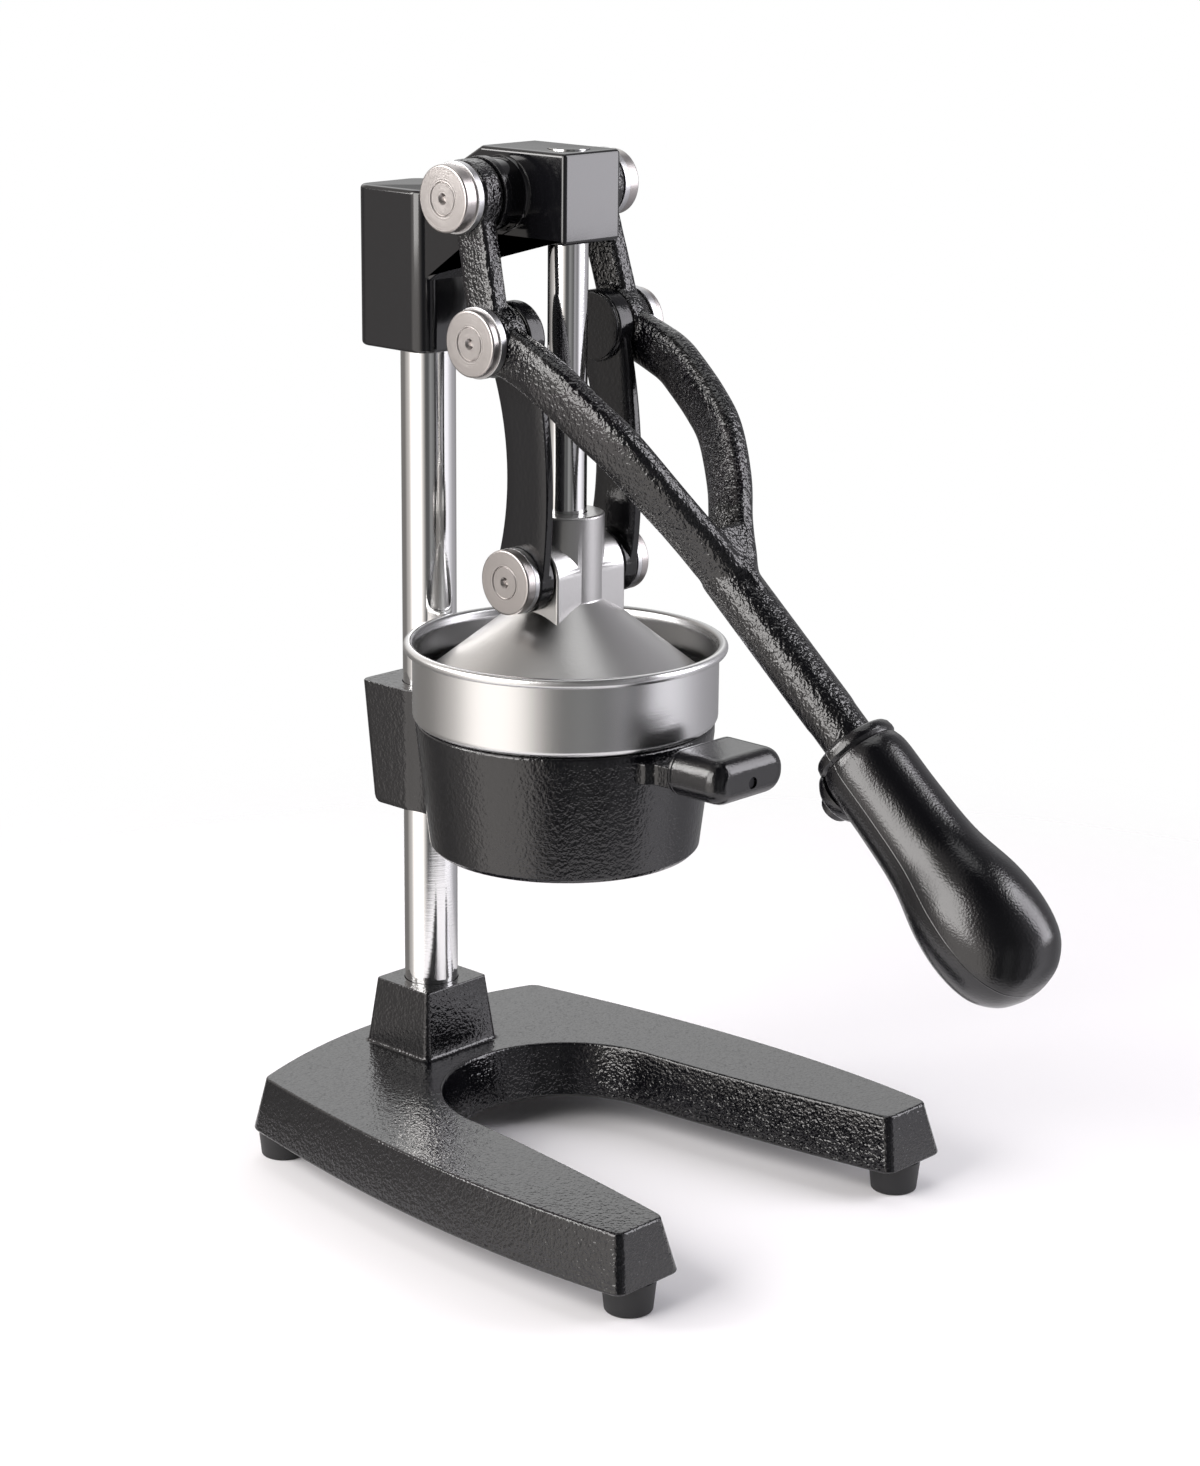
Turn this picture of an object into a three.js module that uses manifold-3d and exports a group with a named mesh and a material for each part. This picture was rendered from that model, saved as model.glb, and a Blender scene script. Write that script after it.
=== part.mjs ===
// Lever citrus juice press. Millimetres, +Z up, the front of the press towards -Y, its right side towards +X.
// While the pieces are made, the column stands on x = y = 0 and the feet stand on z = 0.
import * as THREE from 'three';
import { mergeVertices } from 'three/addons/utils/BufferGeometryUtils.js';
import Module from 'manifold-3d';

const wasm = await Module();
wasm.setup();

// Allowances that all pieces share
const fitGap = 0.3;
const overrun = 1;
const weldDistance = 0.001;

// Facets of round forms, as counts
const roundFacets = 20;
const pinFacets = 12;
const bowlFacets = 32;
const sectionFacets = 12;
const footFacets = 16;
const curveSteps = 5;

// Rubber feet and their screws
const footHeight = 12.2;
const footTopRadius = 10;
const footBottomRadius = 8.8;
const footEdge = 1;
const footRecessRadius = 5;
const footRecessDepth = 7;
const frontFootOut = 74.8;
const frontFootForward = 177.5;
const rearFootOut = 66.5;
const rearFootBack = 14.5;
const footScrewRadius = 2.5;
const footScrewHeadRadius = 4.2;
const footScrewHeadHeight = 2.6;
const footScrewBite = 8;
const footBossRadius = 10;

// Base casting: a plate with two prongs and a round notch between them, and a pedestal for the column
const baseThickness = 21.3;
const tipForward = 183.5;
const tipOuterHalf = 86.6;
const tipInnerHalf = 63;
const sideBulgeHalf = 98;
const sideBulgeForward = 98;
const rearCornerHalf = 75;
const rearCornerBack = 16;
const rearArch = 28;
const notchRadius = 48.5;
const notchForward = 76;
const notchFlankHalf = 53;
const notchFlankForward = 128;
const rearCornerRound = 10;
const tipRound = 4;
const baseDraft = 4.4;
const baseEdge = 1.2;
const baseWall = 6;
const basePocketDepth = 12;
const pedestalHeight = 26.7;
const pedestalTopHalfX = 16.4;
const pedestalTopHalfY = 14.6;
const pedestalDraft = 3;
const pedestalRound = 2.4;
const pedestalFillet = 1.6;

// Column, the bolt that holds it down and the screws that clamp on it
const columnRadius = 10.5;
const columnEdge = 0.6;
const socketFloor = 26;
const columnBoltRadius = 4;
const columnBoltBite = 24;
const columnBoltHeadRadius = 6.8;
const columnBoltHeadHeight = 5;
const columnBossRadius = 17;
const setScrewRadius = 3;
const setScrewKey = 1.5;
const setScrewKeyDepth = 2.4;

// Head casting: a rear block on the column and a front block over the cup
const headTop = 391.8;
const frontBlockHeight = 32.6;
const frontBlockHalf = 14.6;
const frontFace = 85.1;
const frontBlockBack = 43;
const rearBlockTop = 373.1;
const rearBlockBottom = 312.7;
const rearBlockHalf = 17.05;
const rearBlockFront = 15.6;
const rearBlockBack = 22.5;
const rearBlockRound = 7;
const throatDrop = 19;
const headEdge = 1.6;
const columnInHead = 54.6;

// Pivots of the toggle: upper shaft in the head, knee, and cross shaft in the press cone
const upperPivot = { y: -54.4, z: 375.8 };
const kneePivot = { y: -67.7, z: 325.8 };
const ramForward = 73.1;
const crossPivotHeight = 238;
const raisedAngle = THREE.MathUtils.degToRad(105);
const upperShaftRadius = 6;
const pinRadius = 5;
const crossShaftRadius = 4.5;
const washerRadius = 12.9;
const capRadius = 12.1;
const capEdge = 0.7;
const capDimpleRadius = 1.6;
const capDimpleDepth = 1.2;

// Places along X of what sits on each pivot, from the middle outwards
const upperHubOut = 23.7;
const upperHubRadius = 12.8;
const upperHubFillet = 2.3;
const thrustDiscOut = 26.6;
const thrustDiscRadius = 13.9;
const upperBossOut = 36.1;
const upperWasherOut = 39.2;
const upperCapOut = 44.7;
const kneeDiscIn = 18.7;
const kneeDiscRadius = 12.4;
const linkBossIn = 19.5;
const linkBossOut = 27.2;
const kneeBossOut = 38.5;
const kneeShoulderOut = 35.3;
const kneeWasherOut = 41.4;
const kneeCapOut = 44.7;
const lugOut = 18;
const lowerBossOut = 25.9;
const crossWasherOut = 28.5;
const crossCapOut = 32.3;

// Lever casting
const bossRadius = 13.3;
const shoulderRadius = 12.5;
const crankWidth = 15;
const crankThickness = 8.4;
const crankLowerOut = kneeBossOut - fitGap - crankThickness / 2;
const crankForward = 1;
const armWidth = 10.8;
const armRootWidth = 9.5;
const armHeight = 18.8;
const armOut = 33.5;
const barRadius = 9.3;
const barEnd = { y: -200.8, z: 206.7 };
const tangRadius = 6;
const tangLength = 62;

// Hand grip on the lever
const gripStart = 12.5;
const gripLength = 108;
const gripRadius = 22;
const gripDroop = THREE.MathUtils.degToRad(0.6);
const nubPlace = 11.5;
const nubRadius = 5.6;
const nubHeight = 19.8;

// Lower links
const linkWaist = 20;
const linkEndWidth = 24;
const linkThickness = 4.5;
const linkBow = 6.6;

// Juice bowl. What is in it or under it keeps a named distance from its wall
const bowlRadius = 57.2;
const bowlWall = 1.5;
const rimTube = 1.9;
const rimOverhang = 3.3;
const rimOut = bowlRadius + rimOverhang;
const bowlCorner = 2;
const coneClearance = 4.7;
const strainerClearance = 1.2;
const bowlOverhang = 1.2;
const funnelClearance = 2.2;

// Press cone and ram, at heights from the cross shaft
const ramRadius = 7.4;
const ramProud = 0.5;
const sleeveRadius = 14.1;
const sleeveRise = 22;
const sleeveTop = crossPivotHeight + sleeveRise;
const coneShoulderBelow = 10;
const coneShoulder = crossPivotHeight - coneShoulderBelow;
const coneRadius = bowlRadius - bowlWall - coneClearance;
const coneDrop = 29;
const coneLip = 3;
const coneWall = 4.6;
const coneCrownShare = 1.3;
const ramSeatAbove = 1;
const ramSeat = coneShoulder + ramSeatAbove;
const lugRadius = 13;
const lugSkirt = 17;
const coneRibs = 8;
const coneRibThickness = 2.4;
const coneRibDepth = 2;

// Cup holder on the column. The lowered cone sets how high the cup stands
const cupUnderCrossShaft = 57;
const holderTop = crossPivotHeight - cupUnderCrossShaft;
const holderHeight = 49.1;
const holderBottom = holderTop - holderHeight;
const holderTaper = 5.1;
const holderTopRadius = bowlRadius - bowlOverhang;
const holderBottomRadius = holderTopRadius - holderTaper;
const holderBand = 4;
const holderWall = 5;
const holderEdge = 1.2;
const holderFootEdge = 1.8;
const clampHalf = 17.5;
const clampProud = 1;
const clampTop = holderTop + clampProud;
const clampHeight = 48.5;
const clampBottom = clampTop - clampHeight;
const clampBackTop = 21.2;
const clampBackBottom = 16.3;
const clampRound = 4;
const clampCheek = 3;
const clampNeckHalf = 14.5;
const clampNeckForward = 11;
const clampFlareHalf = 21;
const clampBite = 6.9;
const clampFlareForward = ramForward - holderTopRadius + clampBite;
const tabHalf = 14.5;
const tabStep = 3;
const tabTop = holderTop - tabStep;
const tabThickness = 8;
const tabReach = 11.9;
const tabForward = ramForward + holderTopRadius + tabReach;
const tabTangHalf = 9;
const tabTangThickness = 5;
const tabTangLength = 13;
const tabTangRise = 1;
const tabFillet = 3.2;

// Side handle grip at the front of the cup holder: a bar with round ends, seen from the front
const handleHalf = 19.2;
const handleDepth = 25;
const handleProud = 4.2;
const handleTop = holderTop + handleProud;
const handleHeight = 17;
const handleEndRound = 7.5;
const handleFrontRound = 4.5;
const handleBackRound = 1.2;
const handleScrewRadius = 1.3;
const handleScrewHeadRadius = 1.9;
const handleScrewHeadHeight = 2.2;
const handleRecessDepth = 3;
const handleMiddle = tabTop - tabThickness / 2 + tabTangRise;
const handleFront = tabForward + handleDepth;

// Funnel and spout under the bowl, and the strainer in it
const bowlWallHeight = 26.8;
const bowlWallTop = holderTop + bowlWallHeight;
const rimHeight = bowlWallTop + rimTube;
const funnelTopRadius = holderTopRadius - holderWall - funnelClearance;
const funnelDepth = 6;
const funnelShoulder = holderTop - funnelDepth;
const spoutRadius = 8.5;
const spoutLength = 14;
const spoutBottomBelow = 44;
const spoutBottom = holderTop - spoutBottomBelow;
const spoutTop = spoutBottom + spoutLength;
const strainerFlangeRadius = bowlRadius - bowlWall - strainerClearance;
const strainerFlange = 1.6;
const strainerFlangeWidth = 8.5;
const strainerFootRadius = strainerFlangeRadius - strainerFlangeWidth;
const strainerWall = 2.2;
const strainerRise = 28;
const strainerNose = 6;
const strainerTipShare = 0.6;
const slotCount = 12;
const slotWidth = 2.6;
const slotMargin = 8;
const slotLowRadius = strainerFootRadius - slotMargin;
const slotNoseMargin = 11;
const slotHighRadius = strainerNose + slotNoseMargin;

// Finishes
const finish = (color, roughness, metalness) => (
  new THREE.MeshStandardMaterial({ color, roughness, metalness }));
const hammeredPaint = finish(0x0d0d0e, 0.3, 0.2);
const glossPaint = finish(0x070708, 0.12, 0.2);
const satinPaint = finish(0x101011, 0.45, 0.2);
const chrome = finish(0xdcdce0, 0.08, 1);
const machinedSteel = finish(0xbdb8b4, 0.3, 1);
const zincSteel = finish(0x9a9a9c, 0.4, 1);
const castAluminium = finish(0xb9b9b8, 0.38, 1);
const stainless = finish(0xc4c1bd, 0.28, 1);
const gripPlastic = finish(0x131314, 0.35, 0);
const rubber = finish(0x18181a, 0.85, 0);

const sides = [['left', -1], ['right', 1]];

const group = new THREE.Group();
group.name = 'citrus_juice_press';

// A closed geometry as a solid that can be joined and cut.
function solid(geometry) {
  const bare = geometry.index ? geometry.toNonIndexed() : geometry.clone();
  bare.deleteAttribute('normal');
  bare.deleteAttribute('uv');
  const merged = mergeVertices(bare, weldDistance);
  return new wasm.Manifold(new wasm.Mesh({
    numProp: 3,
    vertProperties: merged.attributes.position.array,
    triVerts: new Uint32Array(merged.index.array),
  }));
}

// The geometry of a solid.
function geometryOf(made) {
  const net = made.getMesh();
  const geometry = new THREE.BufferGeometry();
  geometry.setAttribute('position', new THREE.BufferAttribute(new Float32Array(net.vertProperties), 3));
  geometry.setIndex(new THREE.BufferAttribute(new Uint32Array(net.triVerts), 1));
  const flat = geometry.toNonIndexed();
  flat.computeVertexNormals();
  return flat;
}

const joined = (first, ...others) => others.reduce((sum, next) => sum.add(next), first);
const cut = (first, ...others) => others.reduce((rest, next) => rest.subtract(next), first);

// Adds one named piece to the press.
function addPiece(name, shape, material) {
  const mesh = new THREE.Mesh(shape.isBufferGeometry ? shape : geometryOf(shape), material);
  mesh.name = name;
  group.add(mesh);
  return mesh;
}

// A turned body about Z. The profile is a list of [radius, height] that starts and ends on the axis,
// or goes once round a ring.
function turned(profile, facets = roundFacets) {
  const points = profile.map(([radius, height]) => new THREE.Vector2(radius, height));
  if (THREE.ShapeUtils.area(points) < 0) points.reverse();
  if (points[0].x > 0) points.push(points[0].clone());
  return new THREE.LatheGeometry(points, facets).rotateX(Math.PI / 2);
}

// A plain round bar about Z between two heights.
function rod(radius, low, high, facets = pinFacets) {
  return turned([[0, low], [radius, low], [radius, high], [0, high]], facets);
}

// A round disc about Z with chamfered rims.
function disc(radius, low, high, edge, facets = roundFacets) {
  return turned([[0, low], [radius - edge, low], [radius, low + edge], [radius, high - edge],
    [radius - edge, high], [0, high]], facets);
}

// A plain flat ring about Z that slips over a pin.
function washerRing(radius, low, high, pin) {
  return turned([[pin + fitGap, low], [radius, low], [radius, high], [pin + fitGap, high]]);
}

// Turns a body made about Z so that it lies along X, on one side of the press, at a pivot.
function onPivot(geometry, side, pivot) {
  return geometry.rotateY(side * Math.PI / 2).translate(0, pivot.y, pivot.z);
}

// Turns a body made about Z so that it points back, along +Y.
function pointingBack(geometry, height) {
  return geometry.rotateX(-Math.PI / 2).translate(0, 0, height);
}

// The mirror image of a geometry across the middle plane x = 0.
function mirrored(geometry) {
  const image = geometry.clone().applyMatrix4(new THREE.Matrix4().makeScale(-1, 1, 1));
  const order = image.index.array;
  for (let i = 0; i < order.length; i += 3) [order[i + 1], order[i + 2]] = [order[i + 2], order[i + 1]];
  return image;
}

const forSide = (geometry, side) => (side > 0 ? geometry : mirrored(geometry));

// A closed skin over rings of equally many points, each anticlockwise as seen from the next one.
function loft(rings) {
  const count = rings[0].length;
  const faces = [];
  for (let level = 0; level < rings.length - 1; level++) {
    for (let i = 0; i < count; i++) {
      const next = (i + 1) % count;
      const [a, b] = [level * count + i, level * count + next];
      faces.push(a, b, b + count, a, b + count, a + count);
    }
  }
  const last = (rings.length - 1) * count;
  for (const [a, b, c] of capFaces(rings[0])) faces.push(c, b, a);
  for (const [a, b, c] of capFaces(rings.at(-1))) faces.push(last + a, last + b, last + c);
  const geometry = new THREE.BufferGeometry().setFromPoints(rings.flat());
  geometry.setIndex(faces);
  return geometry;
}

// The triangles of a flat ring of points, drawn in the ring's own plane.
function capFaces(ring) {
  const normal = new THREE.Vector3();
  ring.forEach((point, i) => normal.add(point.clone().cross(ring[(i + 1) % ring.length])));
  normal.normalize();
  const across = ring[1].clone().sub(ring[0]);
  across.addScaledVector(normal, -across.dot(normal)).normalize();
  const up = normal.clone().cross(across);
  const flat = ring.map((point) => new THREE.Vector2(point.dot(across), point.dot(up)));
  return THREE.ShapeUtils.triangulateShape(flat, []);
}

// Stacks plan outlines: each level is [outline, height].
function stacked(levels) {
  return loft(levels.map(([outline, height]) => outline.map((p) => new THREE.Vector3(p.x, p.y, height))));
}

// Moves each point of an anticlockwise outline outwards, square to its two edges.
function grown(outline, amount) {
  return outline.map((point, i) => {
    const before = point.clone().sub(outline.at(i - 1)).normalize();
    const after = outline[(i + 1) % outline.length].clone().sub(point).normalize();
    const bisector = new THREE.Vector2(before.y + after.y, -before.x - after.x).normalize();
    const reach = amount / Math.max(bisector.dot(new THREE.Vector2(after.y, -after.x)), 0.5);
    return point.clone().addScaledVector(bisector, reach);
  });
}

// Rounds the sharp corners of an outline, with a few points on each. Only picked corners are rounded.
function softened(outline, radius, steps = 3, picked = () => true) {
  const sharpTurn = THREE.MathUtils.degToRad(25);
  return outline.flatMap((point, i) => {
    if (!picked(point)) return [point];
    const back = outline.at(i - 1).clone().sub(point);
    const ahead = outline[(i + 1) % outline.length].clone().sub(point);
    const turn = Math.PI - Math.acos(back.dot(ahead) / (back.length() * ahead.length()));
    if (turn < sharpTurn) return [point];
    const reach = Math.min(radius * Math.tan(turn / 2), back.length() / 2.1, ahead.length() / 2.1);
    const start = point.clone().addScaledVector(back.normalize(), reach);
    const end = point.clone().addScaledVector(ahead.normalize(), reach);
    return new THREE.QuadraticBezierCurve(start, point, end).getPoints(steps);
  });
}

const points = (...pairs) => pairs.map(([x, y]) => new THREE.Vector2(x, y));

// An anticlockwise rectangle from half sizes, about the column's axis.
const rectangle = (halfX, halfY) => (
  points([halfX, -halfY], [halfX, halfY], [-halfX, halfY], [-halfX, -halfY]));

// A side view outline, [y, z] pairs, carried from -half to +half along X with bevelled edges.
function broad(outline, half, edge) {
  const shape = new THREE.Shape(outline);
  const options = { depth: 2 * (half - edge), bevelThickness: edge, bevelSize: edge, bevelOffset: -edge };
  options.bevelSegments = 2;
  const geometry = new THREE.ExtrudeGeometry(shape, options).translate(0, 0, edge - half);
  const sideView = new THREE.Matrix4().makeBasis(
    new THREE.Vector3(0, 1, 0), new THREE.Vector3(0, 0, 1), new THREE.Vector3(1, 0, 0));
  return geometry.applyMatrix4(sideView);
}

// A section that is between an ellipse and a rectangle: the higher the power, the squarer.
function ovalSection(width, height, power) {
  return Array.from({ length: sectionFacets }, (_, i) => {
    const angle = (i + 0.5) / sectionFacets * 2 * Math.PI;
    const [c, s] = [Math.cos(angle), Math.sin(angle)];
    const shrink = Math.pow(Math.pow(Math.abs(c), power) + Math.pow(Math.abs(s), power), -1 / power);
    return new THREE.Vector2(c * shrink * width / 2, s * shrink * height / 2);
  });
}

// Carries a section along a curve. The section's width stays as near to X as the curve allows.
function swept(curve, steps, sectionAt) {
  const rings = [];
  for (let step = 0; step <= steps; step++) {
    const share = step / steps;
    const centre = curve.getPoint(share);
    const ahead = curve.getTangent(share);
    const across = new THREE.Vector3(1, 0, 0).addScaledVector(ahead, -ahead.x).normalize();
    const up = ahead.clone().cross(across);
    rings.push(sectionAt(share).map((p) => (
      centre.clone().addScaledVector(across, p.x).addScaledVector(up, p.y))));
  }
  return loft(rings);
}

// A small screw about Z, with its head below and its tip up.
function screw(radius, tip, headRadius, headLow, headHeight, facets = pinFacets) {
  return turned([[0, headLow], [headRadius, headLow], [headRadius, headLow + headHeight],
    [radius, headLow + headHeight], [radius, tip], [0, tip]], facets);
}

// A headless screw about Z with a round key hole in its upper end.
function setScrew(low, high) {
  return turned([[0, low], [setScrewRadius, low], [setScrewRadius, high], [setScrewKey, high],
    [setScrewKey, high - setScrewKeyDepth], [0, high - setScrewKeyDepth]], pinFacets);
}

const footPlaces = {
  front_left: [-frontFootOut, -frontFootForward],
  front_right: [frontFootOut, -frontFootForward],
  rear_left: [-rearFootOut, rearFootBack],
  rear_right: [rearFootOut, rearFootBack],
};

function addFeet() {
  const footProfile = [[footScrewRadius + fitGap, footRecessDepth], [footRecessRadius, footRecessDepth],
    [footRecessRadius, 0], [footBottomRadius - footEdge, 0], [footBottomRadius, footEdge],
    [footTopRadius, footHeight], [footScrewRadius + fitGap, footHeight]];
  const headLow = footRecessDepth - footScrewHeadHeight;
  for (const [place, [x, y]] of Object.entries(footPlaces)) {
    const foot = addPiece(`foot_${place}`, turned(footProfile, footFacets), rubber);
    const fixing = screw(footScrewRadius, footHeight + footScrewBite, footScrewHeadRadius, headLow,
      footScrewHeadHeight);
    const held = addPiece(`foot_screw_${place}`, fixing, zincSteel);
    foot.position.set(x, y, 0);
    held.position.set(x, y, 0);
  }
}

// The top outline of the base with sharp corners: along the right prong, round the back, through the notch.
function baseOutline() {
  const outline = new THREE.Shape();
  outline.moveTo(tipInnerHalf, -tipForward);
  outline.lineTo(tipOuterHalf, -tipForward);
  outline.quadraticCurveTo(sideBulgeHalf, -sideBulgeForward, rearCornerHalf, rearCornerBack);
  outline.quadraticCurveTo(0, rearCornerBack + rearArch, -rearCornerHalf, rearCornerBack);
  outline.quadraticCurveTo(-sideBulgeHalf, -sideBulgeForward, -tipOuterHalf, -tipForward);
  outline.lineTo(-tipInnerHalf, -tipForward);
  outline.quadraticCurveTo(-notchFlankHalf, -notchFlankForward, -notchRadius, -notchForward);
  outline.absarc(0, -notchForward, notchRadius, Math.PI, 0, true);
  outline.quadraticCurveTo(notchFlankHalf, -notchFlankForward, tipInnerHalf, -tipForward);
  const drawn = outline.getPoints(curveSteps);
  return drawn.filter((point, i) => point.distanceTo(drawn.at(i - 1)) > weldDistance);
}

// The base's outline at some distance outside its top outline, with its corners rounded.
function baseLevel(amount) {
  const wide = grown(baseOutline(), amount);
  const roundAtRear = softened(wide, rearCornerRound, 4, (point) => point.y > -notchForward);
  return softened(roundAtRear, tipRound, 2, (point) => point.y < -notchForward);
}

const baseBottom = footHeight;
const baseTop = baseBottom + baseThickness;
const pedestalTop = baseTop + pedestalHeight;

function addBase() {
  const plate = solid(stacked([
    [baseLevel(baseDraft - baseEdge), baseBottom],
    [baseLevel(baseDraft), baseBottom + baseEdge],
    [baseLevel(0), baseTop - baseEdge],
    [baseLevel(-baseEdge), baseTop],
  ]));
  const block = softened(rectangle(pedestalTopHalfX, pedestalTopHalfY), pedestalRound);
  const pedestal = solid(stacked([
    [grown(block, pedestalDraft + pedestalFillet), baseTop - baseEdge],
    [grown(block, pedestalDraft + pedestalFillet), baseTop],
    [grown(block, pedestalDraft), baseTop + pedestalFillet],
    [grown(block, 0), pedestalTop],
  ]));
  const bosses = Object.values(footPlaces).map(([x, y]) => (
    solid(rod(footBossRadius, baseBottom - 2 * overrun, baseTop).translate(x, y, 0))));
  const pocket = cut(
    solid(stacked([
      [baseLevel(-baseWall), baseBottom - overrun],
      [baseLevel(-baseWall), baseBottom + basePocketDepth],
    ])),
    ...bosses,
    solid(rod(columnBossRadius, baseBottom - 2 * overrun, baseTop)));
  const screwHoles = Object.values(footPlaces).map(([x, y]) => (
    solid(rod(footScrewRadius + fitGap, baseBottom - overrun, baseBottom + footScrewBite + fitGap)
      .translate(x, y, 0))));
  const counterbore = baseBottom + columnBoltHeadHeight + fitGap;
  addPiece('base_casting', cut(
    joined(plate, pedestal),
    pocket,
    ...screwHoles,
    solid(rod(columnRadius + fitGap, socketFloor, pedestalTop + overrun, roundFacets)),
    solid(rod(columnBoltRadius + fitGap, baseBottom, pedestalTop)),
    solid(rod(columnBoltHeadRadius + fitGap, baseBottom - overrun, counterbore))), hammeredPaint);
}

function addColumn() {
  const top = rearBlockBottom + columnInHead;
  const boltTip = socketFloor + columnBoltBite;
  const boreRadius = columnBoltRadius + fitGap;
  addPiece('column', turned([[boreRadius, socketFloor], [columnRadius, socketFloor],
    [columnRadius, top - columnEdge], [columnRadius - columnEdge, top], [0, top],
    [0, boltTip + fitGap], [boreRadius, boltTip + fitGap], [boreRadius, socketFloor]]), chrome);
  addPiece('column_bolt', screw(columnBoltRadius, boltTip, columnBoltHeadRadius, baseBottom + fitGap,
    columnBoltHeadHeight), zincSteel);
}

// Side view of the front block and of the sloped neck that runs back into the rear block.
function headSideView() {
  const frontBottom = headTop - frontBlockHeight;
  const slopeStart = { y: -frontBlockBack, z: headTop };
  const throat = frontBottom - throatDrop;
  return softened(points(
    [0, throat], [0, rearBlockTop - headEdge], [-rearBlockFront / 2, rearBlockTop - headEdge],
    [slopeStart.y, slopeStart.z], [-frontFace, headTop], [-frontFace, frontBottom],
    [-frontBlockBack, frontBottom], [-rearBlockFront, throat]).reverse(), headEdge, 2);
}

function addHead() {
  const arm = solid(broad(headSideView(), frontBlockHalf, headEdge));
  const depth = (rearBlockFront + rearBlockBack) / 2;
  const plan = softened(rectangle(rearBlockHalf, depth), rearBlockRound, 4);
  const planAt = (amount) => grown(plan, amount).map((p) => p.clone().setY(p.y + rearBlockBack - depth));
  const rear = solid(stacked([
    [planAt(-headEdge), rearBlockBottom],
    [planAt(0), rearBlockBottom + headEdge],
    [planAt(0), rearBlockTop - headEdge],
    [planAt(-headEdge), rearBlockTop],
  ]));
  const hubs = sides.map(([, side]) => solid(onPivot(turned([
    [0, 0], [upperHubRadius + upperHubFillet, 0], [upperHubRadius + upperHubFillet, frontBlockHalf],
    [upperHubRadius, frontBlockHalf + upperHubFillet / 2], [upperHubRadius, upperHubOut], [0, upperHubOut]]),
    side, upperPivot)));
  const screwHeight = (rearBlockBottom + rearBlockTop) / 2;
  const shaftBore = rod(upperShaftRadius + fitGap, -upperHubOut - overrun, upperHubOut + overrun);
  addPiece('head_casting', cut(
    joined(arm, rear, ...hubs),
    solid(rod(columnRadius + fitGap, rearBlockBottom - overrun, rearBlockBottom + columnInHead, roundFacets)),
    solid(rod(ramRadius + fitGap, headTop - frontBlockHeight - throatDrop, headTop + overrun, roundFacets)
      .translate(0, -ramForward, 0)),
    solid(onPivot(shaftBore, 1, upperPivot)),
    solid(pointingBack(rod(setScrewRadius + fitGap, 0, rearBlockBack + overrun), screwHeight))), glossPaint);
  const held = setScrew(columnRadius + fitGap, rearBlockBack - headEdge);
  addPiece('head_set_screw', pointingBack(held, screwHeight), zincSteel);
}

// Shaft through the head, with a thrust disc, a washer and a round end cap on each side.
function addUpperPivot() {
  addPiece('upper_shaft', onPivot(rod(upperShaftRadius, -upperWasherOut, upperWasherOut), 1, upperPivot),
    machinedSteel);
  for (const [name, side] of sides) {
    const thrust = washerRing(thrustDiscRadius, upperHubOut, thrustDiscOut, upperShaftRadius);
    const washer = washerRing(washerRadius, upperBossOut + fitGap, upperWasherOut, upperShaftRadius);
    addPiece(`upper_thrust_disc_${name}`, onPivot(thrust, side, upperPivot), satinPaint);
    addPiece(`upper_washer_${name}`, onPivot(washer, side, upperPivot), zincSteel);
    const cap = endCap(upperWasherOut, upperCapOut);
    addPiece(`upper_cap_${name}`, onPivot(cap, side, upperPivot), machinedSteel);
  }
}

// A thick round cap with a chamfered rim and a dimple in the middle of its outer face.
function endCap(low, high) {
  return turned([[0, low], [capRadius, low], [capRadius, high - capEdge], [capRadius - capEdge, high],
    [capDimpleRadius, high], [0, high - capDimpleDepth]]);
}

// How far the press cone rises and how far a lower link turns when the lever is raised: the knee goes
// round the upper pivot, and the link's other end stays on the ram's line.
function toggleAt(angle) {
  const crank = new THREE.Vector2(kneePivot.y - upperPivot.y, kneePivot.z - upperPivot.z);
  const knee = crank.clone().rotateAround(new THREE.Vector2(), -angle);
  knee.x += upperPivot.y;
  knee.y += upperPivot.z;
  const reach = Math.hypot(kneePivot.y + ramForward, kneePivot.z - crossPivotHeight);
  const sideways = knee.x + ramForward;
  const drop = Math.sqrt(reach * reach - sideways * sideways);
  const lean = (across, along) => Math.atan2(across, along);
  const turn = lean(sideways, drop) - lean(kneePivot.y + ramForward, kneePivot.z - crossPivotHeight);
  return { rise: knee.y - drop - crossPivotHeight, turn };
}

// Curve in shares of the fork's spread, run and drop, from the knee to the bar's end.
const armShares = [[0.99, 0.02, 0.01], [0.99, 0.14, 0.06], [1, 0.2, 0.09], [0.97, 0.253, 0.127],
  [0.9, 0.346, 0.205], [0.78, 0.428, 0.283], [0.55, 0.514, 0.411], [0.31, 0.575, 0.521], [0.13, 0.64, 0.626],
  [0.05, 0.71, 0.702]];
const armWideningShares = [0.07, 0.17];
const armEndingShares = [0.74, 0.96];
const armEndShare = 0.68;
const barStartShare = [0, 0.572, 0.59];

function forkPoint([spreadShare, runShare, dropShare]) {
  return new THREE.Vector3(
    spreadShare * armOut,
    kneePivot.y + runShare * (barEnd.y - kneePivot.y),
    kneePivot.z + dropShare * (barEnd.z - kneePivot.z));
}

// Turns a body made about Z to lie along the grip, with z = 0 at the bar's end.
const barStart = forkPoint(barStartShare);
const barSlope = Math.atan2(barStart.z - barEnd.z, barStart.y - barEnd.y);
const gripTurn = Math.PI / 2 + barSlope + gripDroop;
const alongGrip = (geometry) => geometry.rotateX(gripTurn).translate(0, barEnd.y, barEnd.z);

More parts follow.
